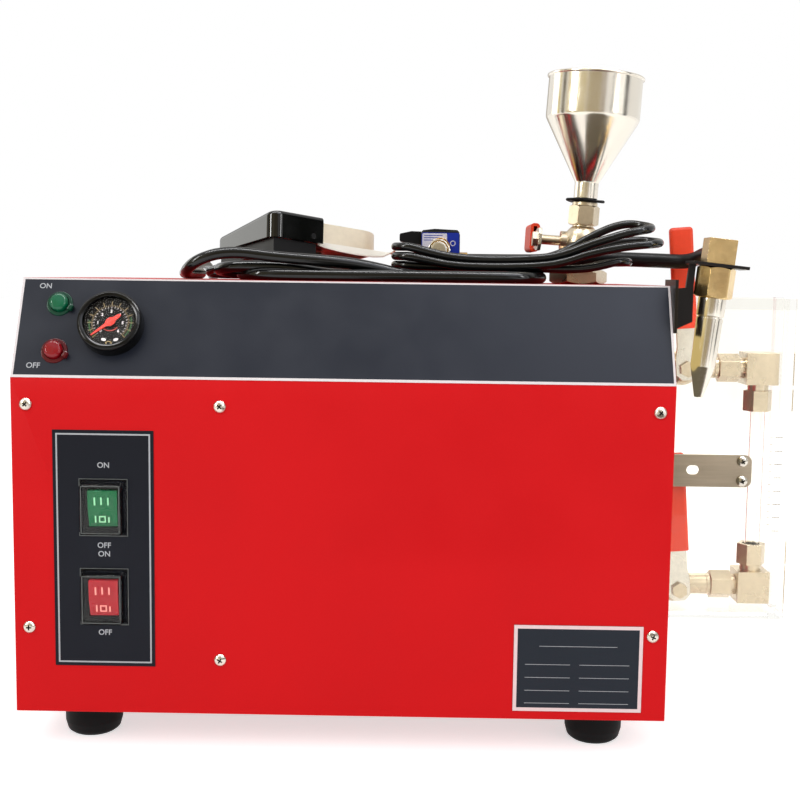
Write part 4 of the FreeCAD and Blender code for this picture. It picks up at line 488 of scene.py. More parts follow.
def border(place, number, width, height, stroke, thickness=INK_DEPTH, top=None, side=None):
    """Four strips round a rectangle centred on its place, as parts with the number of their finish."""
    w, h, top, side = width / 2, height / 2, top or stroke, side or stroke
    strips = ((-w, w, -h, stroke - h), (-w, w, h - top, h), (-w, side - w, stroke - h, h - top),
              (w - side, w, stroke - h, h - top))
    return [(bar(*strip, thickness), place, number) for strip in strips]


def words(text, height, weight=0.012):
    """Lettering as a thin solid, centred, with capitals of the given height."""
    curve = bpy.data.curves.new("words", "FONT")
    curve.body = text
    curve.align_x = "CENTER"
    curve.extrude = 0.01
    curve.offset = weight
    curve.resolution_u = 4
    mesh = melted(placed("words", curve))
    size = height / max(corner.co.y for corner in mesh.vertices)
    lift, depth = 0.04, 3
    points = [(x * size, y * size - height / 2, lift + z * depth)
              for x, y, z in (corner.co for corner in mesh.vertices)]
    return points, [list(face.vertices) for face in mesh.polygons]


def as_mesh(shape, name):
    """A mesh from a shape that has been edited."""
    mesh = bpy.data.meshes.new(name)
    shape.to_mesh(mesh)
    shape.free()
    return mesh


def filled(name, parts):
    """A mesh of several closed shapes, each with its place and the number of its finish."""
    shape = bmesh.new()
    for (points, faces), place, number in parts:
        corners = [shape.verts.new(place @ Vector(point)) for point in points]
        for face in faces:
            shape.faces.new([corners[index] for index in face]).material_index = number
    bmesh.ops.remove_doubles(shape, verts=shape.verts, dist=1e-7)
    bmesh.ops.recalc_face_normals(shape, faces=shape.faces)
    return as_mesh(shape, name)


def make(name, parts, *rest, **more):
    """A piece of several closed shapes, seated with its finishes and whatever else is given."""
    return seated(name, filled(name, parts), *rest, **more)


def seated(name, mesh, finishes, body="cabinet", slot=None, stands_for=(), sharp=32, soften=0.0):
    """Gives a mesh its finishes and softened edges, and lets it ride on its body."""
    piece = placed(name, mesh)
    for surface in finishes:
        mesh.materials.append(surface)
    mesh.shade_smooth()
    if soften:
        round_edges(piece, soften, 30, True)
    else:
        mesh.set_sharp_from_angle(angle=math.radians(sharp))
    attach(piece, body)
    if stands_for:
        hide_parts(*stands_for)
    return piece


def round_edges(piece, radius, angle, keep_sharp):
    """Rounds the edges that turn by more than an angle."""
    bevel = piece.modifiers.new("edges", "BEVEL")
    bevel.width = radius / 1000
    bevel.segments = 2
    bevel.limit_method = "ANGLE"
    bevel.angle_limit = math.radians(angle)
    bevel.use_clamp_overlap = True
    piece.modifiers.new("normals", "WEIGHTED_NORMAL").keep_sharp = keep_sharp
    settle(piece)


def settle(piece):
    """Turns a piece's modifiers into its plain mesh."""
    mesh = plain_mesh(piece)
    piece.modifiers.clear()
    piece.data = mesh


def dress(node, surface, soften=0.3, angle=30):
    """A copy of a frame node with softened edges and its finish."""
    source = frame["nodes"][node]
    shape = bmesh.new()
    shape.from_mesh(source.data)
    for layers in (shape.loops.layers.float_vector, shape.loops.layers.uv):
        for layer in list(layers):
            layers.remove(layer)
    bmesh.ops.remove_doubles(shape, verts=shape.verts, dist=2e-6)
    bmesh.ops.dissolve_limit(shape, angle_limit=math.radians(0.3), verts=shape.verts, edges=shape.edges)
    for edge in shape.edges:
        edge.smooth = len(edge.link_faces) == 2 and edge.calc_face_angle(0) < math.radians(angle)
    mesh = as_mesh(shape, node)
    for name in [held.name for held in mesh.attributes if held.name == "custom_normal"]:
        mesh.attributes.remove(mesh.attributes[name])
    piece = placed(node + "_dressed", mesh)
    mesh.materials.clear()
    mesh.materials.append(surface)
    for face in mesh.polygons:
        face.material_index = 0
        face.use_smooth = True
    if soften:
        round_edges(piece, soften, angle, False)
    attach(piece, body_of(source)[0])
    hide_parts(node)
    return piece


def dress_all(surface, soften, *nodes):
    for node in nodes:
        dress(node, surface, soften)


def coat(node, surface):
    """A frame node that keeps its mesh and takes a finish."""
    for held in frame["nodes"][node].material_slots:
        held.material = surface


# --- cords ----------------------------------------------------------------------------------------

def raised(points):
    """Points with heights above the cabinet's top, in the frame's metres."""
    return [CABINET @ Vector((x, y, TOP + z)) for x, y, z in points]


def strand(name, points, diameter, kind="NURBS", facets=5):
    """A round cord along its points, drawn smooth as NURBS or straight from point to point as POLY."""
    curve = bpy.data.curves.new(name, "CURVE")
    curve.dimensions = "3D"
    curve.resolution_u = 8
    curve.bevel_depth = diameter / 2000
    curve.bevel_resolution = facets
    curve.use_fill_caps = True
    spline = curve.splines.new(kind)
    spline.points.add(len(points) - 1)
    for control, point in zip(spline.points, points):
        control.co = (*point, 1)
    spline.order_u = 3
    spline.use_endpoint_u = True
    return placed(name, curve)


def fold(x, y_from, y_to, z_from, z_to, side, count=7):
    """The points of a half turn at one end of a hank."""
    spread = 1 / math.cos(math.pi / (2 * count))
    middle, radius = (y_from + y_to) / 2, abs(y_to - y_from) / 2
    points = []
    for step in range(count):
        angle = math.pi * (step + 0.5) / count
        rise = z_from + (z_to - z_from) * (step + 0.5) / count
        points.append((x + side * radius * math.sin(angle) * spread,
                       middle + (y_from - middle) * math.cos(angle) * spread, rise))
    return points


POWER_OUT = [(-130, BACK, -130), (-130, 300, -130), (-130, 330, -100), (-130, 334, -54), (-130, 310, -10),
             (-130, 272, 12), (-131, 234, 12), (-132, 194, 6.1), (-130, 155, 4.1), (-120.5, 128, 4.1),
             (-107.3, 110, 4.1), (-107, 91, 4.1)]
POWER_LOOP = [(-108, 72, 4.1), (-108.5, 54, 4.3), (-106, 42, 6.2), (-101, 35, 10.2), (-94, 33, 14),
              (-84, 33, 17.2), (-70, 33.5, 18.2), (-52, 34, 16), (-32, 34.8, 14.4), (-12, 37, 13.4),
              (4, 41.5, 11.9), (20, 46.5, 9), (34, 48.8, 5.6), (50, 49.1, 4.1), (78, 49.6, 4.1)]
POWER_IN = [(-5, 33.7, 4.1), (50, 34.2, 4.1), (88, 33.9, 4.1), (112, 35.5, 4.1), (124, 44, 4.1),
            (129.5, 58, 4.1), (130.3, 74, 4.1), (130, 91, 4.1), (131, 108, 4.1), (129.5, 127, 5.6),
            (127, 148, 9.8), (127, 170, 10.5)]
POWER_ROUTE = (POWER_OUT + POWER_LOOP + fold(99.6, 49.1, 79.5, 4.1, 4.1, 1)
               + [(60, 79.9, 4.1), (10, 79.1, 4.1)] + fold(-68, 79.5, 41.7, 4.1, 9.6, -1)
               + [(-42, 41.7, 9.3), (-24, 41.7, 6.2), (-6, 41.8, 4.1), (45, 41.2, 4.1)]
               + fold(99.6, 41.5, 87.1, 4.1, 4.1, 1)
               + [(55, 86.8, 4.1), (5, 87.4, 4.1)] + fold(-45, 87.1, 33.9, 4.1, 4.1, -1) + POWER_IN)
PEDAL_OUT = [(70, BACK, -130), (70, 298, -130), (70, 326, -102), (71, 330, -58), (72, 306, -16),
             (74, 270, 9), (77, 234, 9), (84, 192, 4.1), (91, 156, 3.1), (95, 127, 4.1), (97, 107, 10),
             (98, 92, 13.5), (102, 83, 12.5), (112, 79.3, 10.9), (130, 79, 10.7), (148, 79, 9.7),
             (162, 79, 11), (172, 79, 13.6)]
PEDAL_FIRST = [(170, 53.5, 12.8), (157, 53.5, 10.2), (140, 53.5, 10), (105, 53.3, 10.8), (70, 53.7, 10.7),
               (50, 53.5, 10.9)]
PEDAL_SECOND = [(55, 79, 11.2), (75, 79, 10.8), (88, 77.5, 10.7), (102, 74.2, 10.7), (118, 73.4, 10.8),
                (135, 73.4, 12.2), (148, 73.4, 16.4), (160, 73.4, 22), (174, 73.4, 26.4),
                (188, 73.4, 30)]
PEDAL_THIRD = [(186, 48, 25.6), (172, 48, 23), (158, 48, 19.8), (145, 48, 15), (130, 48, 12),
               (100, 48, 10.8), (70, 48.2, 11.4), (52, 48, 15)]
PEDAL_FOURTH = [(54, 73.4, 15.6), (68, 73.6, 13), (80, 75, 15.2), (95, 76, 16.6), (115, 76, 15.8),
                (130, 76, 16.8), (142, 76, 20), (152, 76, 25), (163, 76, 31.6), (176, 76, 38),
                (186, 76, 41)]
PEDAL_FIFTH = [(184, 50.5, 34), (172, 50.5, 30.2), (160, 50.5, 26.4), (148, 50.5, 21.4),
               (135, 50.5, 17.6), (112, 50.5, 15.8), (88, 50.5, 15.6), (68, 50.5, 17), (53, 50.5, 20.4)]
PEDAL_IN = [(53, 76, 20.6), (64, 76, 18.2), (74, 78.5, 17.5), (80.5, 85, 17), (82.3, 95, 15),
            (82.6, 103, 12.5), (84, 129, 4.1), (81, 157, 3.1), (63, 185, 3.1), (26, 204, 3.1),
            (-16, 214, 3.1), (-58, 225, 3.1), (-94, 226, 3.1), (-116.5, 212, 3.1), (-118, 191, 5.6)]
PEDAL_ENTRY = Vector((20, 86, 6))
PEDAL_ROUTE = (PEDAL_OUT + fold(176, 79, 53.5, 15, 15.5, 1) + PEDAL_FIRST
               + fold(44, 53.5, 79, 11.3, 11.9, -1) + PEDAL_SECOND + fold(195.5, 73.4, 48, 30.6, 26.6, 1)
               + PEDAL_THIRD + fold(44, 48, 73.4, 17, 18, -1) + PEDAL_FOURTH
               + fold(190, 76, 50.5, 41.8, 35.4, 1) + PEDAL_FIFTH + fold(44, 50.5, 76, 23.5, 24, -1)
               + PEDAL_IN)
power_cord = strand("power_lead", raised(POWER_ROUTE), POWER_CORD)
pedal_cord = strand("pedal_lead", raised(PEDAL_ROUTE) + [PEDAL @ (PEDAL_ENTRY + Vector((0, 22, 0))),
                                                         PEDAL @ PEDAL_ENTRY], PEDAL_CORD)
for lead, nodes in ((power_cord, ("power_cord", "power_cord_hank")),
                    (pedal_cord, ("pedal_cord", "pedal_cord_hank"))):
    lead.data.materials.append(CORD)
    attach(lead, "cabinet")
    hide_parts(*nodes)


def power_plug():
    """The mains plug that lies at the end of its cord, with two flat pins and the ribs of its tail."""
    x, y, z = POWER_IN[-1]
    lying = at(x, y, TOP + z) @ turn(-90, "X")
    grip = block(30, 20.6, 6, 42, 5, 1.6)
    neck = block(20, 15, 0.2, 9, 6, 1.2)
    ribs = [(block(23, 17.4, 1.2 + 2.6 * row, 2.6 + 2.6 * row, 6.5, 0.5), lying, 0) for row in range(3)]
    pins = [(block(1.6, 6.4, 40, 60, 0.4, 0.4), lying @ shift(side), 1) for side in (-6.5, 6.5)]
    return make("mains_plug", [(grip, lying, 0), (neck, lying, 0), *ribs, *pins], [BLACK, BRASS],
                slot="black_plastic", stands_for=["power_plug"], sharp=40)


mains_plug = power_plug()


# --- Geometry Nodes: screws and marks -------------------------------------------------------------

SHAPE = ("Geometry", "NodeSocketGeometry")
MATERIAL = "NodeSocketMaterial"


def grown(name, tree, mesh, inputs):
    """The plain mesh that a tree makes with these inputs."""
    held = placed(name, mesh)
    modifier = held.modifiers.new("growth", "NODES")
    modifier.node_group = tree
    for item in tree.interface.items_tree:
        if item.in_out == "INPUT" and item.name in inputs:
            modifier[item.identifier] = inputs[item.name]
    return melted(held)


def copies(tree, points, shape, rotation, surface):
    """Real copies of a shape on points, in one material."""
    rows = add(tree, "GeometryNodeInstanceOnPoints", {
        "Points": points, "Instance": shape, "Rotation": rotation})
    real = add(tree, "GeometryNodeRealizeInstances", {"Geometry": rows.outputs[0]})
    return add(tree, "GeometryNodeSetMaterial", {
        "Geometry": real.outputs[0], "Material": surface}).outputs[0]


def screw_tree():
    """One screw on each point, along the point's aim and spun by a seeded amount."""
    tree, ins, outs = new_tree("screw_rows", "GeometryNodeTree", [
        SHAPE, ("Screw", "NodeSocketObject"), ("Head", MATERIAL), ("Recess", MATERIAL), ("Seed", WHOLE, 3)],
        [SHAPE])
    aim = add(tree, "GeometryNodeInputNamedAttribute", {"Name": "aim"}, data_type="FLOAT_VECTOR")
    facing = add(tree, "FunctionNodeAlignRotationToVector", {"Vector": aim.outputs[0]}, axis="Z")
    spin = add(tree, "FunctionNodeRandomValue", {2: 0.0, 3: 1.57, "Seed": ins["Seed"]}, data_type="FLOAT")
    spun = add(tree, "FunctionNodeAxisAngleToRotation", {"Axis": (0, 0, 1), "Angle": spin.outputs[1]})
    both = add(tree, "FunctionNodeRotateRotation",
               {"Rotation": facing.outputs[0], "Rotate By": spun.outputs[0]}, rotation_space="LOCAL")
    screw = add(tree, "GeometryNodeObjectInfo", {"Object": ins["Screw"]})
    heads = copies(tree, ins["Geometry"], screw.outputs["Geometry"], both.outputs[0], ins["Head"])
    deep = add(tree, "GeometryNodeInputNamedAttribute", {"Name": "recess"}, data_type="FLOAT")
    cross = add(tree, "GeometryNodeSetMaterial", {
        "Geometry": heads, "Selection": deep.outputs[0], "Material": ins["Recess"]})
    wire(tree, outs, {"Geometry": cross.outputs[0]})
    return tree


def mark_tree():
    """Even strokes along an arc: count, start, sweep, radius and the size of a stroke."""
    tree, ins, outs = new_tree("arc_marks", "GeometryNodeTree", [
        SHAPE, ("Count", WHOLE, 9), ("Start", FLOAT, 0.0), ("Sweep", FLOAT, 1.0), ("Radius", FLOAT, 0.01),
        ("Length", FLOAT, 0.002), ("Width", FLOAT, 0.0005), ("Height", FLOAT, 0.0001),
        ("Finish", MATERIAL)], [SHAPE])
    number = add(tree, "GeometryNodeInputIndex").outputs[0]
    share = maths(tree, "DIVIDE", number, maths(tree, "SUBTRACT", ins["Count"], 1.0))
    angle = maths(tree, "MULTIPLY_ADD", share, ins["Sweep"], ins["Start"])
    turned_by = add(tree, "ShaderNodeCombineXYZ", {2: angle}).outputs[0]
    arm = add(tree, "ShaderNodeCombineXYZ", {0: ins["Radius"]}).outputs[0]
    spot = add(tree, "ShaderNodeVectorRotate", {"Vector": arm, "Rotation": turned_by},
               rotation_type="EULER_XYZ").outputs[0]
    points = add(tree, "GeometryNodePoints", {"Count": ins["Count"], "Position": spot})
    size = add(tree, "ShaderNodeCombineXYZ", {0: ins["Length"], 1: ins["Width"], 2: ins["Height"]})
    stroke = add(tree, "GeometryNodeMeshCube", {"Size": size.outputs[0]})
    aim = add(tree, "FunctionNodeEulerToRotation", {0: turned_by})
    wire(tree, outs, {"Geometry": copies(tree, points.outputs[0], stroke.outputs["Mesh"],
                                         aim.outputs[0], ins["Finish"])})
    return tree


MARKS = mark_tree()


def marks(name, place, surface, count, start, sweep, radius, length, width):
    """A piece of even strokes along an arc, in millimetres and degrees."""
    mesh = grown(name, MARKS, bpy.data.meshes.new(name), {
        "Count": count, "Start": math.radians(start), "Sweep": math.radians(sweep), "Radius": radius,
        "Length": length, "Width": width, "Height": 0.08, "Finish": surface})
    mesh.transform(place)
    seated(name, mesh, [])


def pan_screw(length):
    """A cross-head screw along z, the underside of its head at zero, with the faces of its recess marked."""
    here = Matrix.Identity(4)
    head = turned([(0, 2.6), (1.6, 2.55), (3.0, 2.0), (3.85, 1.0, 0.4), (4, 0.2, 0.15), (3.9, 0), (2, 0),
                   (2, -length, 0.3), (0, -length)], steps=40)
    arms = [(lofted([[(x * share * wide / 2, y * share * deep / 2, z) for x, y in SQUARE]
                     for share, z in ((0.45, 0.9), (1, 3.4))]), here, 0)
            for wide, deep in ((4.4, 1.15), (1.15, 4.4))]
    held = placed("screw", filled("screw", [(head, here, 0)]))
    tool = placed("cross", filled("cross", arms))
    cut = held.modifiers.new("recess", "BOOLEAN")
    cut.object = tool
    cut.operation = "DIFFERENCE"
    cut.solver = "EXACT"
    cut.use_self = True
    settle(held)
    bpy.data.objects.remove(tool)
    deep = held.data.attributes.new("recess", "FLOAT", "FACE")
    for number, face in enumerate(held.data.polygons):
        reach, height = math.hypot(face.center.x, face.center.y), face.center.z
        wall = reach < 2.2 and 0.5 < height < 2.3 and face.normal.z < 0.99
        floor = reach < 1.3 and 0.5 < height < 1.2
        deep.data[number].value = float(wall or floor)
    held.data.transform(Matrix.Scale(0.001, 4))
    held.data.shade_smooth()
    held.data.set_sharp_from_angle(angle=math.radians(35))
    return held


def panel_screws():
    """Every visible screw, in one piece: on the front, in the feet, on the wall and on the strap."""
    tree = screw_tree()
    front = [(x, 0, z) for x in (-200.5, 200.5) for z in (226.5, 82)] + [(-77.5, 0, 226.5), (-77.5, 0, 62)]
    feet = [(x, y, 14) for x, y in FEET]
    wall = [(211.5, 104, 170), (211.5, 104, 182), (212, 38, 285.5), (212, 38, 300.5)]
    strap = [(277.8, 88.5, 169), (277.8, 88.5, 183)]
    forward, down, right = (0, -1, 0), (0, 0, -1), (1, 0, 0)
    rows = ((16, 5, ((front, forward), (feet, down), (wall, right))), (5.5, 8, ((strap, forward),)))
    gathered = bmesh.new()
    for length, seed, groups in rows:
        places = [(point, aim) for points, aim in groups for point in points]
        screw = pan_screw(length)
        dots = bpy.data.meshes.new("screw_places")
        dots.from_pydata([CABINET @ Vector(point) for point, _ in places], [], [])
        aims = dots.attributes.new("aim", "FLOAT_VECTOR", "POINT")
        aims.data.foreach_set("vector", [number for _, aim in places for number in aim])
        row = grown("screw_row", tree, dots, {"Screw": screw, "Head": ZINC, "Recess": RECESS, "Seed": seed})
        for face in row.polygons:
            face.material_index = int(row.materials[face.material_index] == RECESS)
        gathered.from_mesh(row)
        bpy.data.objects.remove(screw)
    name = "cross_head_screws"
    seated(name, as_mesh(gathered, name), [ZINC, RECESS], "cabinet", "zinc", ["panel_screws"], sharp=38)


panel_screws()


# --- cabinet --------------------------------------------------------------------------------------

dress("base_tray", RED, 0.25)
dress_all(RED, 0.4, "cabinet_shell", "front_panel")


def rubber_feet():
    """Four turned rubber feet with a shoulder and a hollow for the screw."""
    profile = [(2.1, 26), (18.6, 26, 0.8), (19.2, 19, 0.5), (19.0, 8, 3), (17.4, 2.2, 3), (14.5, 0, 1.2),
               (8.6, 0, 1.2), (8.5, 14, 0.6), (2.1, 14)]
    parts = [(turned(profile, closed=True), at(x, y), 0) for x, y in FEET]
    make("rubber_foot_set", parts, [RUBBER], slot="rubber", stands_for=["rubber_feet"], sharp=40)


rubber_feet()


def console_print():
    """The console's printed film: its pale border and the two generic words."""
    dress("console_label", CONSOLE, 0.12)
    lines = border(on_console(0, SLOPE / 2, FILM), 0, 419.6, SLOPE - 0.6, 1.8, top=1.1, side=1.4)
    letters = [(words("ON", 3.6), on_console(-194.5, 63.9, FILM), 1),
               (words("OFF", 3.6), on_console(-196.4, 8.6, FILM), 1)]
    make("console_lines", lines + letters, [INK, PALE_INK])


console_print()


def switch_print():
    """The switches' printed film with its border line and the words beside each rocker."""
    dress("switch_label", LABEL, 0.12)
    lines = border(on_front(-151.75, 133.75, FILM), 0, 60.2, 149.2, 1.0)
    letters = [(words(text, 3.5), on_front(SWITCH_X, z, FILM), 0)
               for text, z in (("ON", 188.2), ("OFF", 136.4), ("ON", 130.8), ("OFF", 79.4))]
    make("switch_lines", lines + letters, [PALE_INK])


switch_print()


def rating_print():
    """The bare rating plate: a broad border and blank ruled lines."""
    dress("rating_plate", PLATE, 0.12)
    middle = on_front(153, 60, FILM)
    rules = [(left, right, y) for y in (2.4, -6.2, -14.8, -23.2) for left, right in ((-34, -5), (1, 33))]
    rules.append((-25, 25, 14.5))
    make("rating_lines", border(middle, 0, 82.8, 56.8, 2.3)
         + [(bar(left, right, y, y + 0.3, INK_DEPTH), middle, 1) for left, right, y in rules],
         [PLATE_INK, PALE_INK])


rating_print()


# --- pressure gauge -------------------------------------------------------------------------------

def dial_spot(x, y, out=6.6):
    """A place on the gauge's dial, from its middle."""
    return on_console(GAUGE[0] + x, GAUGE[1] + y, out)


def pressure_gauge():
    """A round gauge: turned case with a raised rim, printed dial, red hand and a flat lens."""
    case = turned([(17.62, 6), (17.62, 10.95), (16.5, 10.98, 0.2), (16.7, 11.6, 0.5), (18.4, 12.2, 0.9),
                   (20.1, 11.3, 1.2), (20.5, 9.4, 0.8), (20.5, 0.45, 0.3), (18, 0.45), (18, -20, 1),
                   (5.4, -20), (5.4, -34), (0.9, -34), (0.9, 3), (1.1, 6)], steps=96, closed=True)
    make("gauge_housing", [(case, on_console(*GAUGE), 0)], [RIM], slot="black_plastic",
         stands_for=["gauge_case"])
    dress("gauge_dial", DIAL, 0)
    dress("gauge_lens", LENS, 0.15)
    hand = on_console(*GAUGE) @ turn(219, "Z")
    needle = plate([(-8.2, -0.5), (-6.4, -1.2), (-3.6, -1.3), (-1.6, -2.6), (1.0, -2.6), (3.2, -1.0),
                    (14.6, -0.35), (14.6, 0.35), (3.2, 1.0), (1.0, 2.6), (-1.6, 2.6), (-3.6, 1.3),
                    (-6.4, 1.2), (-8.2, 0.5)], 7.4, 8.1)
    hub = turned([(0, 3.3), (0.8, 3.3), (0.8, 7.3), (1.8, 7.3), (1.9, 8.5, 0.3), (0, 8.7)], 32)
    make("gauge_hand", [(needle, hand, 0), (hub, hand, 0)], [CORAL], "pointer", "pointer",
         ["gauge_pointer"])
    for name, surface, *numbers in (
            ("dial_major_marks", AMBER, 13, -45, 270, 13.4, 2.6, 0.26),
            ("dial_minor_marks", AMBER, 49, -45, 270, 11.6, 0.8, 0.2),
            ("dial_inner_marks", INK, 25, -45, 270, 10.5, 0.9, 0.34),
            ("dial_green_band", DIAL_GREEN, 40, 175, 50, 13.4, 0.5, 0.5),
            ("dial_green_arc", DIAL_GREEN, 40, -40, 55, 13.4, 0.5, 0.5),
            ("dial_red_band", DIAL_RED, 30, 215, 110, 5.6, 0.5, 0.5)):
        marks(name, dial_spot(0, 0, 6.62), surface, *numbers)
    parts = []
    for step in range(7):
        spot = dial_spot(*polar(7.9, math.radians(225 - 45 * step)))
        parts.append((words(str(step), 2.0, 0.03), spot, 0))
    leaf = turned([(0, 0), (1.6, 0), (1.6, 0.2, 0.1), (0, 0.25)], 24)
    ring = turned([(1.5, 0), (2.0, 0), (2.0, 0.1), (1.5, 0.1)], 24, closed=True)
    parts += [(leaf, dial_spot(x, -11.7) @ turn(lean, "Z") @ Matrix.Scale(0.62, 4, (0, 1, 0)), 0)
              for x, lean in ((-3.1, -14), (4.6, 16))]
    parts.append((ring, dial_spot(0.2, -14.0) @ Matrix.Scale(0.6, 4, (0, 1, 0)), 1))
    make("dial_numbers", parts, [INK, AMBER])


pressure_gauge()


# --- buttons and switches -------------------------------------------------------------------------

def push_buttons():
    """Two round push buttons in coloured collars, each with a small lug at its lower right."""
    parts = []
    sleeve = turned([(6.1, 1.0), (6.15, 1.6, 0.1), (8.2, 1.4, 0.5), (8.5, 0.42), (6.9, 0.42), (6.9, -14),
                     (6.1, -14)], closed=True)
    for s, number in ((BUTTON_ON, 1), (BUTTON_OFF, 2)):
        place = on_console(BUTTON_X, s)
        parts += [(sleeve, place, number), (nut(17, 4, 7.05), place @ shift(z=-5.5), 0),
                  (block(3.4, 4.4, 0.42, 4.4, 1.2, 0.9), place @ turn(-24, "Z") @ shift(8.6), number)]
    make("button_collars", parts, [BLACK, GREEN_COLLAR, RED_COLLAR], slot="bezel",
         stands_for=["button_bezels"])
    cap = [(0, -4), (5.85, -4), (5.9, 4.2, 1.6), (4.4, 5.6, 1.6), (0, 6.0)]
    for node, body, surface, s, slot in (
            ("steam_on_button", "steam_on", GREEN_BUTTON, BUTTON_ON, "green_plastic"),
            ("steam_off_button", "steam_off", RED_BUTTON, BUTTON_OFF, "red_plastic")):
        make(node + "_cap", [(turned(cap, 48), on_console(BUTTON_X, s), 0)], [surface], body, slot, [node])


push_buttons()


def rocker_ribs(name, body, z, surface):
    """Pale strokes on a rocker's lens, as painted reflections."""
    half, face, rise = on_front(SWITCH_X, z) @ turn(7, "X"), 4.62, 0.3
    strokes = [(-4.6, 5.4, 1.0, 5.2), (-0.4, 5.6, 1.0, 4.8), (4.0, 5.4, 0.9, 5.0), (-4.4, -6.4, 0.9, 4.6),
               (4.2, -6.8, 0.9, 3.6)]
    parts = [(bar(x - w / 2, x + w / 2, y - h / 2, y + h / 2, rise, face), half, 0)
             for x, y, w, h in strokes]
    make(name, parts + border(half @ shift(0, -6.4, face), 0, 4.4, 4.4, 0.8, rise), [surface], body)


def rocker_switches():
    """Two rocker switches under clear boots, with thin grey lines along the boots' edges as painted
    highlights.
    """
    dress("switch_housings", BLACK, 0.25)
    dress("pedal_switch_rocker", GREEN_ROCKER, 0.4)
    dress("power_switch_rocker", RED_ROCKER, 0.4)
    outer = [(31, 37, 2.2, 0), (31, 37, 2.2, 0.8), (30.4, 36.4, 2, 1.0), (27.8, 33.8, 2.4, 1.2),
             (27.0, 33.0, 2.6, 8.4), (25.6, 31.6, 2.6, 9.3), (23.6, 29.6, 2.4, 9.6)]
    inner = [(23.4, 29.4, 2.2, 8.9), (25.2, 31.2, 2.2, 8.3), (26.0, 32.0, 2, 1), (26.2, 32.2, 2, 0)]
    boot = lofted([[(x, y, out) for x, y in rectangle(width, height, radius)]
                   for width, height, radius, out in inner + outer])
    parts = []
    for z in SWITCHES:
        place = on_front(SWITCH_X, z, FILM)
        parts.append((boot, place, 0))
        # Thin grey lines along each boot's outer and top edges: painted highlights.
        for width, height, out, stroke in ((31, 37, 1.0, 0.3), (24.4, 30.4, 9.58, 0.35)):
            parts += border(place @ shift(z=out), 1, width, height, stroke)
    make("clear_boots", parts, [BOOT, BOOT_EDGE_HIGHLIGHT], slot="clear_boot", stands_for=["switch_boots"], sharp=50)


rocker_switches()
# Pale strokes painted on each rocker lens as painted reflections.
rocker_ribs("green_rocker_ribs", "pedal_rocker", SWITCHES[0], GREEN_LENS_REFLECTION)
rocker_ribs("red_rocker_ribs", "power_rocker", SWITCHES[1], RED_LENS_REFLECTION)


# --- filling stack --------------------------------------------------------------------------------

def funnel():
    """A spun funnel with a rolled rim, its wavy gasket and the nuts below it."""
    wall = 1.0
    profile = [(5.9, 52.5), (5.9, 61), (8.5, 61, 0.3), (8.5, 72.5, 3), (33.2, 117, 7), (33.1, 145.2, 0.4),
               (34.3, 145.2, 0.7), (34.3, 147, 0.8), (32.4, 147, 0.6), (33.2 - wall, 117.6, 7),
               (8.5 - wall, 73.1, 3), (8.5 - wall, 62), (4.5, 62), (4.5, 52.5)]
    make("spun_funnel", [(turned(profile, 128, closed=True), STACK, 0)], [SPUN], slot="polished",
         stands_for=["funnel"], sharp=50)

    def wave(radius, angle):
        swell = max(0.0, radius - 8) / 6
        return swell * (0.55 * math.sin(2 * angle + 0.6) + 0.35 * math.sin(3 * angle))

    washer = [(6.1, 58.7), (13.6, 58.7, 0.5), (14, 59.6, 0.4), (13.4, 60.4, 0.5), (6.1, 60.8)]
    make("wavy_gasket", [(turned(washer, 96, True, wave), STACK, 0)], [RUBBER], slot="rubber",
         stands_for=["funnel_gasket"])
    collar = turned([(7.65, 55.8), (9, 55.8), (9, 58.3, 0.3), (6.1, 58.5), (6.1, 57), (7.65, 57)],
                    closed=True)
    parts = [(nut(36, 10, 12.12), at(162.5, 120, TOP), 0), (nut(19, 14, 7.65), STACK @ shift(z=42), 0),
             (collar, STACK, 0), (nut(22, 20, 7.02), SPOUT @ shift(z=-21.05), 1)]
    make("hexagon_nuts", parts, [NICKEL, WARM_NICKEL], slot="nickel", stands_for=["pipe_nuts"], soften=0.25)


def taller_sleeve():
    """The filling valve's sleeve, drawn taller about its own middle and a little higher."""
    sleeve = dress("fill_lever_sleeve", SLEEVE, 0.3)
    corners = sleeve.data.vertices
    middle = shift(*sum((corner.co for corner in corners), Vector()) / len(corners))
    tall = Matrix.Scale(1.28, 4, (0, 0, 1))
    sleeve.data.transform(shift(z=0.0022) @ middle @ tall @ middle.inverted())


funnel()
dress_all(NICKEL, 0.15, "fill_valve_body", "gauge_valve_bodies")
dress_all(NICKEL, 0.3, "gauge_nuts", "gauge_elbows")
dress_all(NICKEL, 0, "fill_valve_ball", "upper_valve_ball", "lower_valve_ball")
dress_all(ZINC, 0.3, "fill_valve_lever", "upper_valve_lever", "lower_valve_lever")
dress_all(SLEEVE, 0.3, "upper_lever_sleeve", "lower_lever_sleeve")
taller_sleeve()


# --- water-level gauge ----------------------------------------------------------------------------

dress("sight_glass", GLASS, 0)
dress("gauge_strap", STEEL, 0.25)
dress("gauge_guard", ACRYLIC, 0.3)


def guard_scale():
    """A faint printed scale on the guard's front."""
    behind_panel = 89.9
    place = on_front(0, 0, -behind_panel)
    scales = ((300.5, 306.0, 0.5, 9.55, 8), (297.0, 298.8, 0.35, 4.775, 15))
    parts = [(bar(left, right, z, z + width, 0.05), place, 0)
             for left, right, width, pitch, count in scales
             for z in (133 + pitch * step for step in range(count))]
    make("guard_scale", parts, [GUARD_INK])


guard_scale()


# --- nozzle, hose and solenoid valve --------------------------------------------------------------

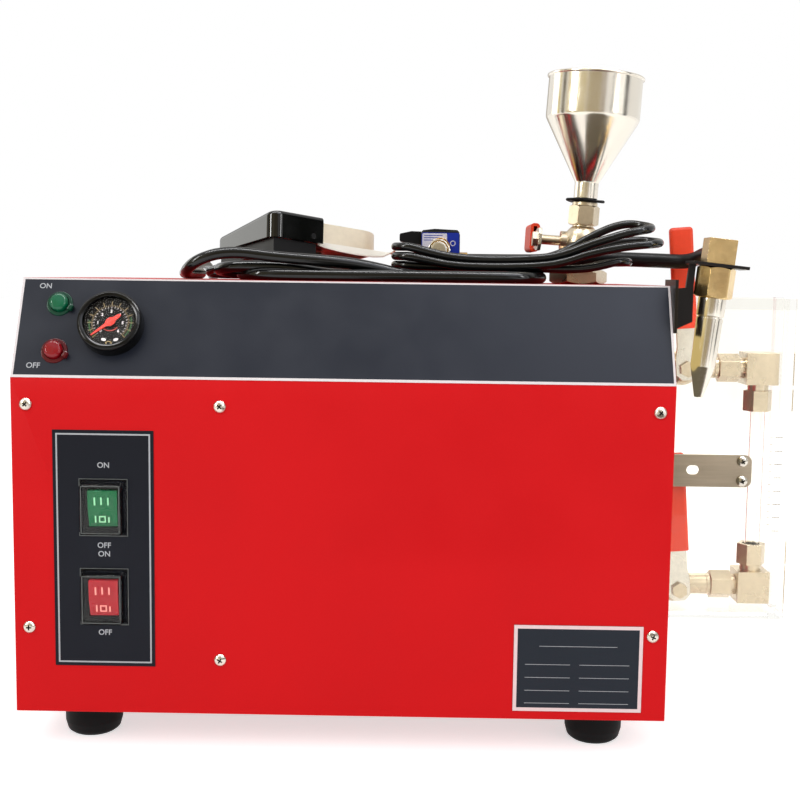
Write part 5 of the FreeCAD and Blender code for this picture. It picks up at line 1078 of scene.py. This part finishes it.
def nozzle():
    """The turned steam nozzle under its bracket."""
    dress("nozzle_bracket", BLACK_STEEL, 0.3)
    dress("nozzle_elbow", WARM_NICKEL, 0.5)
    profile = [(1.2, -11.9), (6.7, -11.9), (6.8, -21), (8.9, -21, 0.4), (8.9, -33, 0.5), (7.8, -33),
               (7.8, -33.8), (8.6, -33.8, 0.4), (7.9, -65.8, 0.5), (2.9, -85.6, 0.4), (2.6, -86), (1.2, -86)]
    make("steam_tip", [(turned(profile, 96, closed=True), SPOUT, 0)], [SPUN], slot="polished",
         stands_for=["steam_nozzle"], sharp=25)


nozzle()


def steam_hose():
    """The short black hose from the valve's outlet to the nozzle's block."""
    route = [(241.7, 45, 22.6), (241.7, 64, 22.6), (234.2, 82, 16.1), (216.2, 92, 17.1), (180, 94, 18),
             (150, 98, 17), (134, 112, 16), (124, 126, 16), (106, 136, 16), (83, 136, 16)]
    hose = melted(strand("steam_hose_run", raised(route), 10))
    seated("steam_hose_run", hose, [HOSE], slot="hose", stands_for=["steam_hose"])


steam_hose()


def solenoid():
    """The steam valve: brass body, moulded coil with its label, connector and nut."""
    dress("solenoid_valve", BRASS, 0.4)
    coat("solenoid_plunger", STEEL)
    face = at(62, 84, TOP + 24) @ turn(90, "X")
    nut_place = face @ shift(-1, -1.6)
    can = block(27, 23, -36, 0, 3.0, 1.0)
    lid = plate(eased([(-13.2, 10.6), (13.2, 10.6), (11.8, 12.2, 1), (-4, 12.9, 2), (-12.2, 11.9, 1)], True),
                -33, -2)
    plug = plate(eased([(-13.3, 2.0), (-13.3, 11.0), (-20, 11.2, 2), (-28.3, 9.4, 1.2), (-28.3, 4.2, 1.2),
                        (-20, 2.6, 2)], True), -20, -4)
    cap = turned([(0, 4.02), (5.6, 4.02), (5.6, 4.5, 0.2), (4.4, 4.8, 0.3), (0, 4.8)], 48)
    make("moulded_coil", [(can, face, 0), (lid, face, 0), (plug, face, 0),
                          (nut(14, 4, 6.52), nut_place @ shift(z=0.3), 1), (cap, nut_place, 1)],
         [BLACK, ZINC], slot="black_plastic", stands_for=["solenoid_coil"], sharp=40)
    lines = [(bar(-7.4, 7.4 - cut, z, z + 0.5, 0.05, 0.3), face @ shift(-4), 0)
             for z, cut in ((8.0, 2), (6.4, 4), (4.8, 1))]
    dot = turned([(1.3, 0.2), (1.9, 0.2), (1.9, 0.32), (1.3, 0.32)], 24, closed=True)
    make("coil_label_plate", [(plate(rectangle(26, 20.4, 1.2), 0.02, 0.2), face, 0),
                              (plate(rectangle(17, 17, 0.8), 0.2, 0.3), face @ shift(-4, 1.2), 1), *lines,
                              (dot, face @ shift(8.6, 3.0), 1)], [BLUE, PANEL])


solenoid()


# --- foot pedal -----------------------------------------------------------------------------------

def foot_pedal():
    """The foot pedal on the top: base, glossy cover and the steel tread with its curved lip; the tread's
    cream colour is partly painted reflection, and the lip's near-white colour is painted reflection.
    """
    dress("pedal_base", BLACK, 0.5)
    dress("pedal_cover", GLOSS, 0.9)
    dress("pedal_tread", CREAM_STEEL, 0.35)
    lip = [[(u, 4.2, 12.4), (u, 4.2, 11.2), (u, 4.2 - flare, 11.0 - drop), (u, 4.2 - flare, 12.2 - drop)]
           for u, drop, flare in ((39.5, 2.0, 0.8), (46, 3.4, 1.4), (58, 4.6, 2.2), (72, 5.2, 3.0),
                                  (86, 5.2, 3.6), (95, 4.0, 4.2), (102, 0.2, 4.4), (107, -3.4, 4.2))]
    # The lip's near-white colour is painted reflection.
    make("tread_lip", [(lofted(lip), PEDAL, 0)], [LIP_PAINTED_REFLECTION], "tread", soften=0.4)


def tread_spring():
    """The coiled spring under the tread, drawn at one fixed length, though the real one shortens as the
    tread goes down.
    """
    turns, gauge, radius, low, high, steps = 6.5, 1.2, 5.4, 2.6, 18.5, 150
    middle_x, middle_y, seat = 62, 40, 2
    points = []
    for step in range(steps + 1):
        x, y = polar(radius, 2 * math.pi * turns * step / steps)
        points.append(PEDAL @ Vector((middle_x + x, middle_y + y, low + (high - low) * (step / steps))))
    coil = melted(strand("spring", points, gauge, "POLY", 3))
    spring = seated("tread_spring", coil, [ZINC], "cabinet", "steel", ["pedal_spring"])
    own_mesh(spring)


foot_pedal()
tread_spring()


# --- rear and inside ------------------------------------------------------------------------------

def strain_reliefs():
    """Two ribbed, tapered strain reliefs on the back wall."""
    parts = []
    for (x, _, z), bore in ((POWER_EXIT, POWER_CORD / 2), (PEDAL_EXIT, PEDAL_CORD / 2)):
        place = at(x, 240, z) @ turn(-90, "X")
        lock = at(x, 238.3, z) @ turn(90, "X")
        flange = [(bore + 0.1, -6), (7.8, -6), (8, 0.1), (10.2, 0.1, 0.3), (10.2, 2.4, 0.8), (8, 3.2),
                  (8, 6), (bore + 0.1, 6)]
        tail = [(bore + 0.1, 4)]
        for rib in range(6):
            low, radius = 6 + 3 * rib, 8 - 0.55 * rib
            tail += [(radius, low, 0.3), (radius, low + 1.7, 0.3), (radius - 1.1, low + 1.8),
                     (radius - 1.1, low + 2.9)]
        tail.append((bore + 0.1, 23.9))
        parts += [(turned(flange, closed=True), place, 0), (turned(tail, 48, closed=True), place, 0),
                  (nut(18, 6, 8.05), lock, 0)]
    make("strain_relief_pair", parts, [BLACK], slot="black_plastic", stands_for=["cord_glands"])


strain_reliefs()
dress("safety_valve", BRASS, 0.25)
coat("boiler_tank", STEEL)
coat("heating_element", STEEL)
coat("pressure_switch", BLACK)
coat("gauge_pipe", COPPER)


# --- floor, light and what metal reflects ---------------------------------------------------------

def sheet(name, corners):
    """A four-cornered sheet, the node tree of its surface and its shader's sockets."""
    mesh = bpy.data.meshes.new(name)
    mesh.from_pydata(corners, [], [(0, 1, 3, 2)])
    surface = bpy.data.materials.new(name)
    surface.use_nodes = True
    mesh.materials.append(surface)
    return placed(name, mesh), surface.node_tree, surface.node_tree.nodes["Principled BSDF"].inputs


def seen_by_eye(tree, otherwise, seen):
    """A value for the rays of the camera, of gloss and of glass, and another for the rest."""
    path = add(tree, "ShaderNodeLightPath").outputs
    pair = maths(tree, "MAXIMUM", path["Is Camera Ray"], path["Is Glossy Ray"])
    every = maths(tree, "MAXIMUM", pair, path["Is Transmission Ray"])
    return mapped(tree, every, to_low=otherwise, to_high=seen)


def pale_floor():
    """A plain pale floor that reads white and keeps the shadow."""
    half = 12
    corners = [(x, y, 0) for y in (-half, half) for x in (-half, half)]
    floor, tree, shader = sheet("pale_floor", corners)
    wire(tree, shader, {
        "Base Color": (0.8, 0.8, 0.8, 1), "Specular IOR Level": 0.1, "Roughness": 0.9,
        "Emission Color": (1, 1, 1, 1), "Emission Strength": seen_by_eye(tree, 0.0, 0.62)})


def light_the_room():
    world = bpy.data.worlds.new("white_room")
    bpy.context.scene.world = world
    world.use_nodes = True
    tree = world.node_tree
    wire(tree, tree.nodes["Background"].inputs, {
        "Color": (1, 1, 1, 1), "Strength": seen_by_eye(tree, 0.62, 1.0)})
    for name, place, target, size, power in (
            ("key_light", (-0.9, -1.5, 1.5), (0, -0.1, 0.15), 1.3, 16),
            ("fill_light", (1.2, -1.3, 0.8), (0.1, -0.1, 0.15), 1.1, 7),
            ("rear_light", (0.2, 1.5, 1.3), (0, 0, 0.2), 1.2, 9)):
        lamp = bpy.data.lights.new(name, "AREA")
        lamp.size = size
        lamp.energy = power
        held = placed(name, lamp)
        held.location = place
        held.rotation_mode = "QUATERNION"
        held.rotation_quaternion = (Vector(target) - Vector(place)).to_track_quat("-Z", "Y")
        held.visible_glossy = False


def gloss_card(name, corners, colour, strength=1.0):
    """A glowing card that only gloss sees."""
    card, tree, shader = sheet(name, corners)
    wire(tree, shader, {"Base Color": (0, 0, 0, 1), "Specular IOR Level": 0,
                        "Emission Color": rgb(*colour), "Emission Strength": strength})
    for ray in ("camera", "diffuse", "shadow", "transmission"):
        setattr(card, "visible_" + ray, False)


def standing_card(name, start, end, colour, strength=1.0, low=0.02, high=1.9, reach=1.9):
    """An upright card round the machine, between two bearings in degrees to the left of the front."""
    middle = Vector((0.12, -0.02))
    corners = []
    for angle in (math.radians(start), math.radians(end)):
        x, y = middle - reach * Vector((math.sin(angle), math.cos(angle)))
        corners += [(x, y, low), (x, y, high)]
    gloss_card(name, corners, colour, strength)


def reflected_cards():
    """Tall cards for the stripes of turned metal, and bright strips for the lights on black plastic."""
    white = (255, 255, 255)
    for row in (("yellow_card", 104, 98, (206, 180, 60)), ("dark_card", 92, 82, (84, 76, 60)),
                ("cream_card", 78, 28, (214, 200, 160)), ("olive_card", 26, -9, (184, 170, 140)),
                ("brown_card", -11, -18, (142, 120, 98)), ("dusk_card", -34, -40, (104, 98, 92)),
                ("grey_card", -61, -66.5, (206, 206, 204), 3.4, 0.3),
                ("black_card", -67.5, -80, (34, 34, 34)),
                ("side_card", 126, 107, (255, 255, 250), 3.0, 0.2, 1.4),
                ("rear_card", 200, 160, (190, 184, 176), 1.0, 0.02, 1.9, 2.2),
                ("left_strip", 62, 56, white, 26, 0.5, 1.5, 1.7),
                ("right_strip", -44, -49, white, 14, 0.5, 1.4, 1.7)):
        standing_card(*row)
    gloss_card("top_strip", [(x, y, 2.2) for x in (-1.2, 1.2) for y in (-0.5, -0.3)], white, 30)
    gloss_card("low_card", [(x, y, 0.12) for x in (-0.05, 0.32) for y in (-0.75, -0.16)], (112, 104, 90))
    for name, low, high, colour in (("wall_card", 0.247, 0.305, (222, 200, 136)),
                                    ("low_wall_card", 0.03, 0.247, (116, 110, 94))):
        gloss_card(name, [(0.1608, y, z) for z in (low, high) for y in (-0.131, 0.1)], colour)
    gloss_card("console_card", [(0.25, -1.3, 1.3), (0.25, -0.9, 2.0), (1.3, -1.0, 1.3), (1.3, -0.7, 2.0)],
               (240, 244, 255), 4)


pale_floor()
light_the_room()
reflected_cards()
bpy.context.scene.view_settings.view_transform = "Standard"
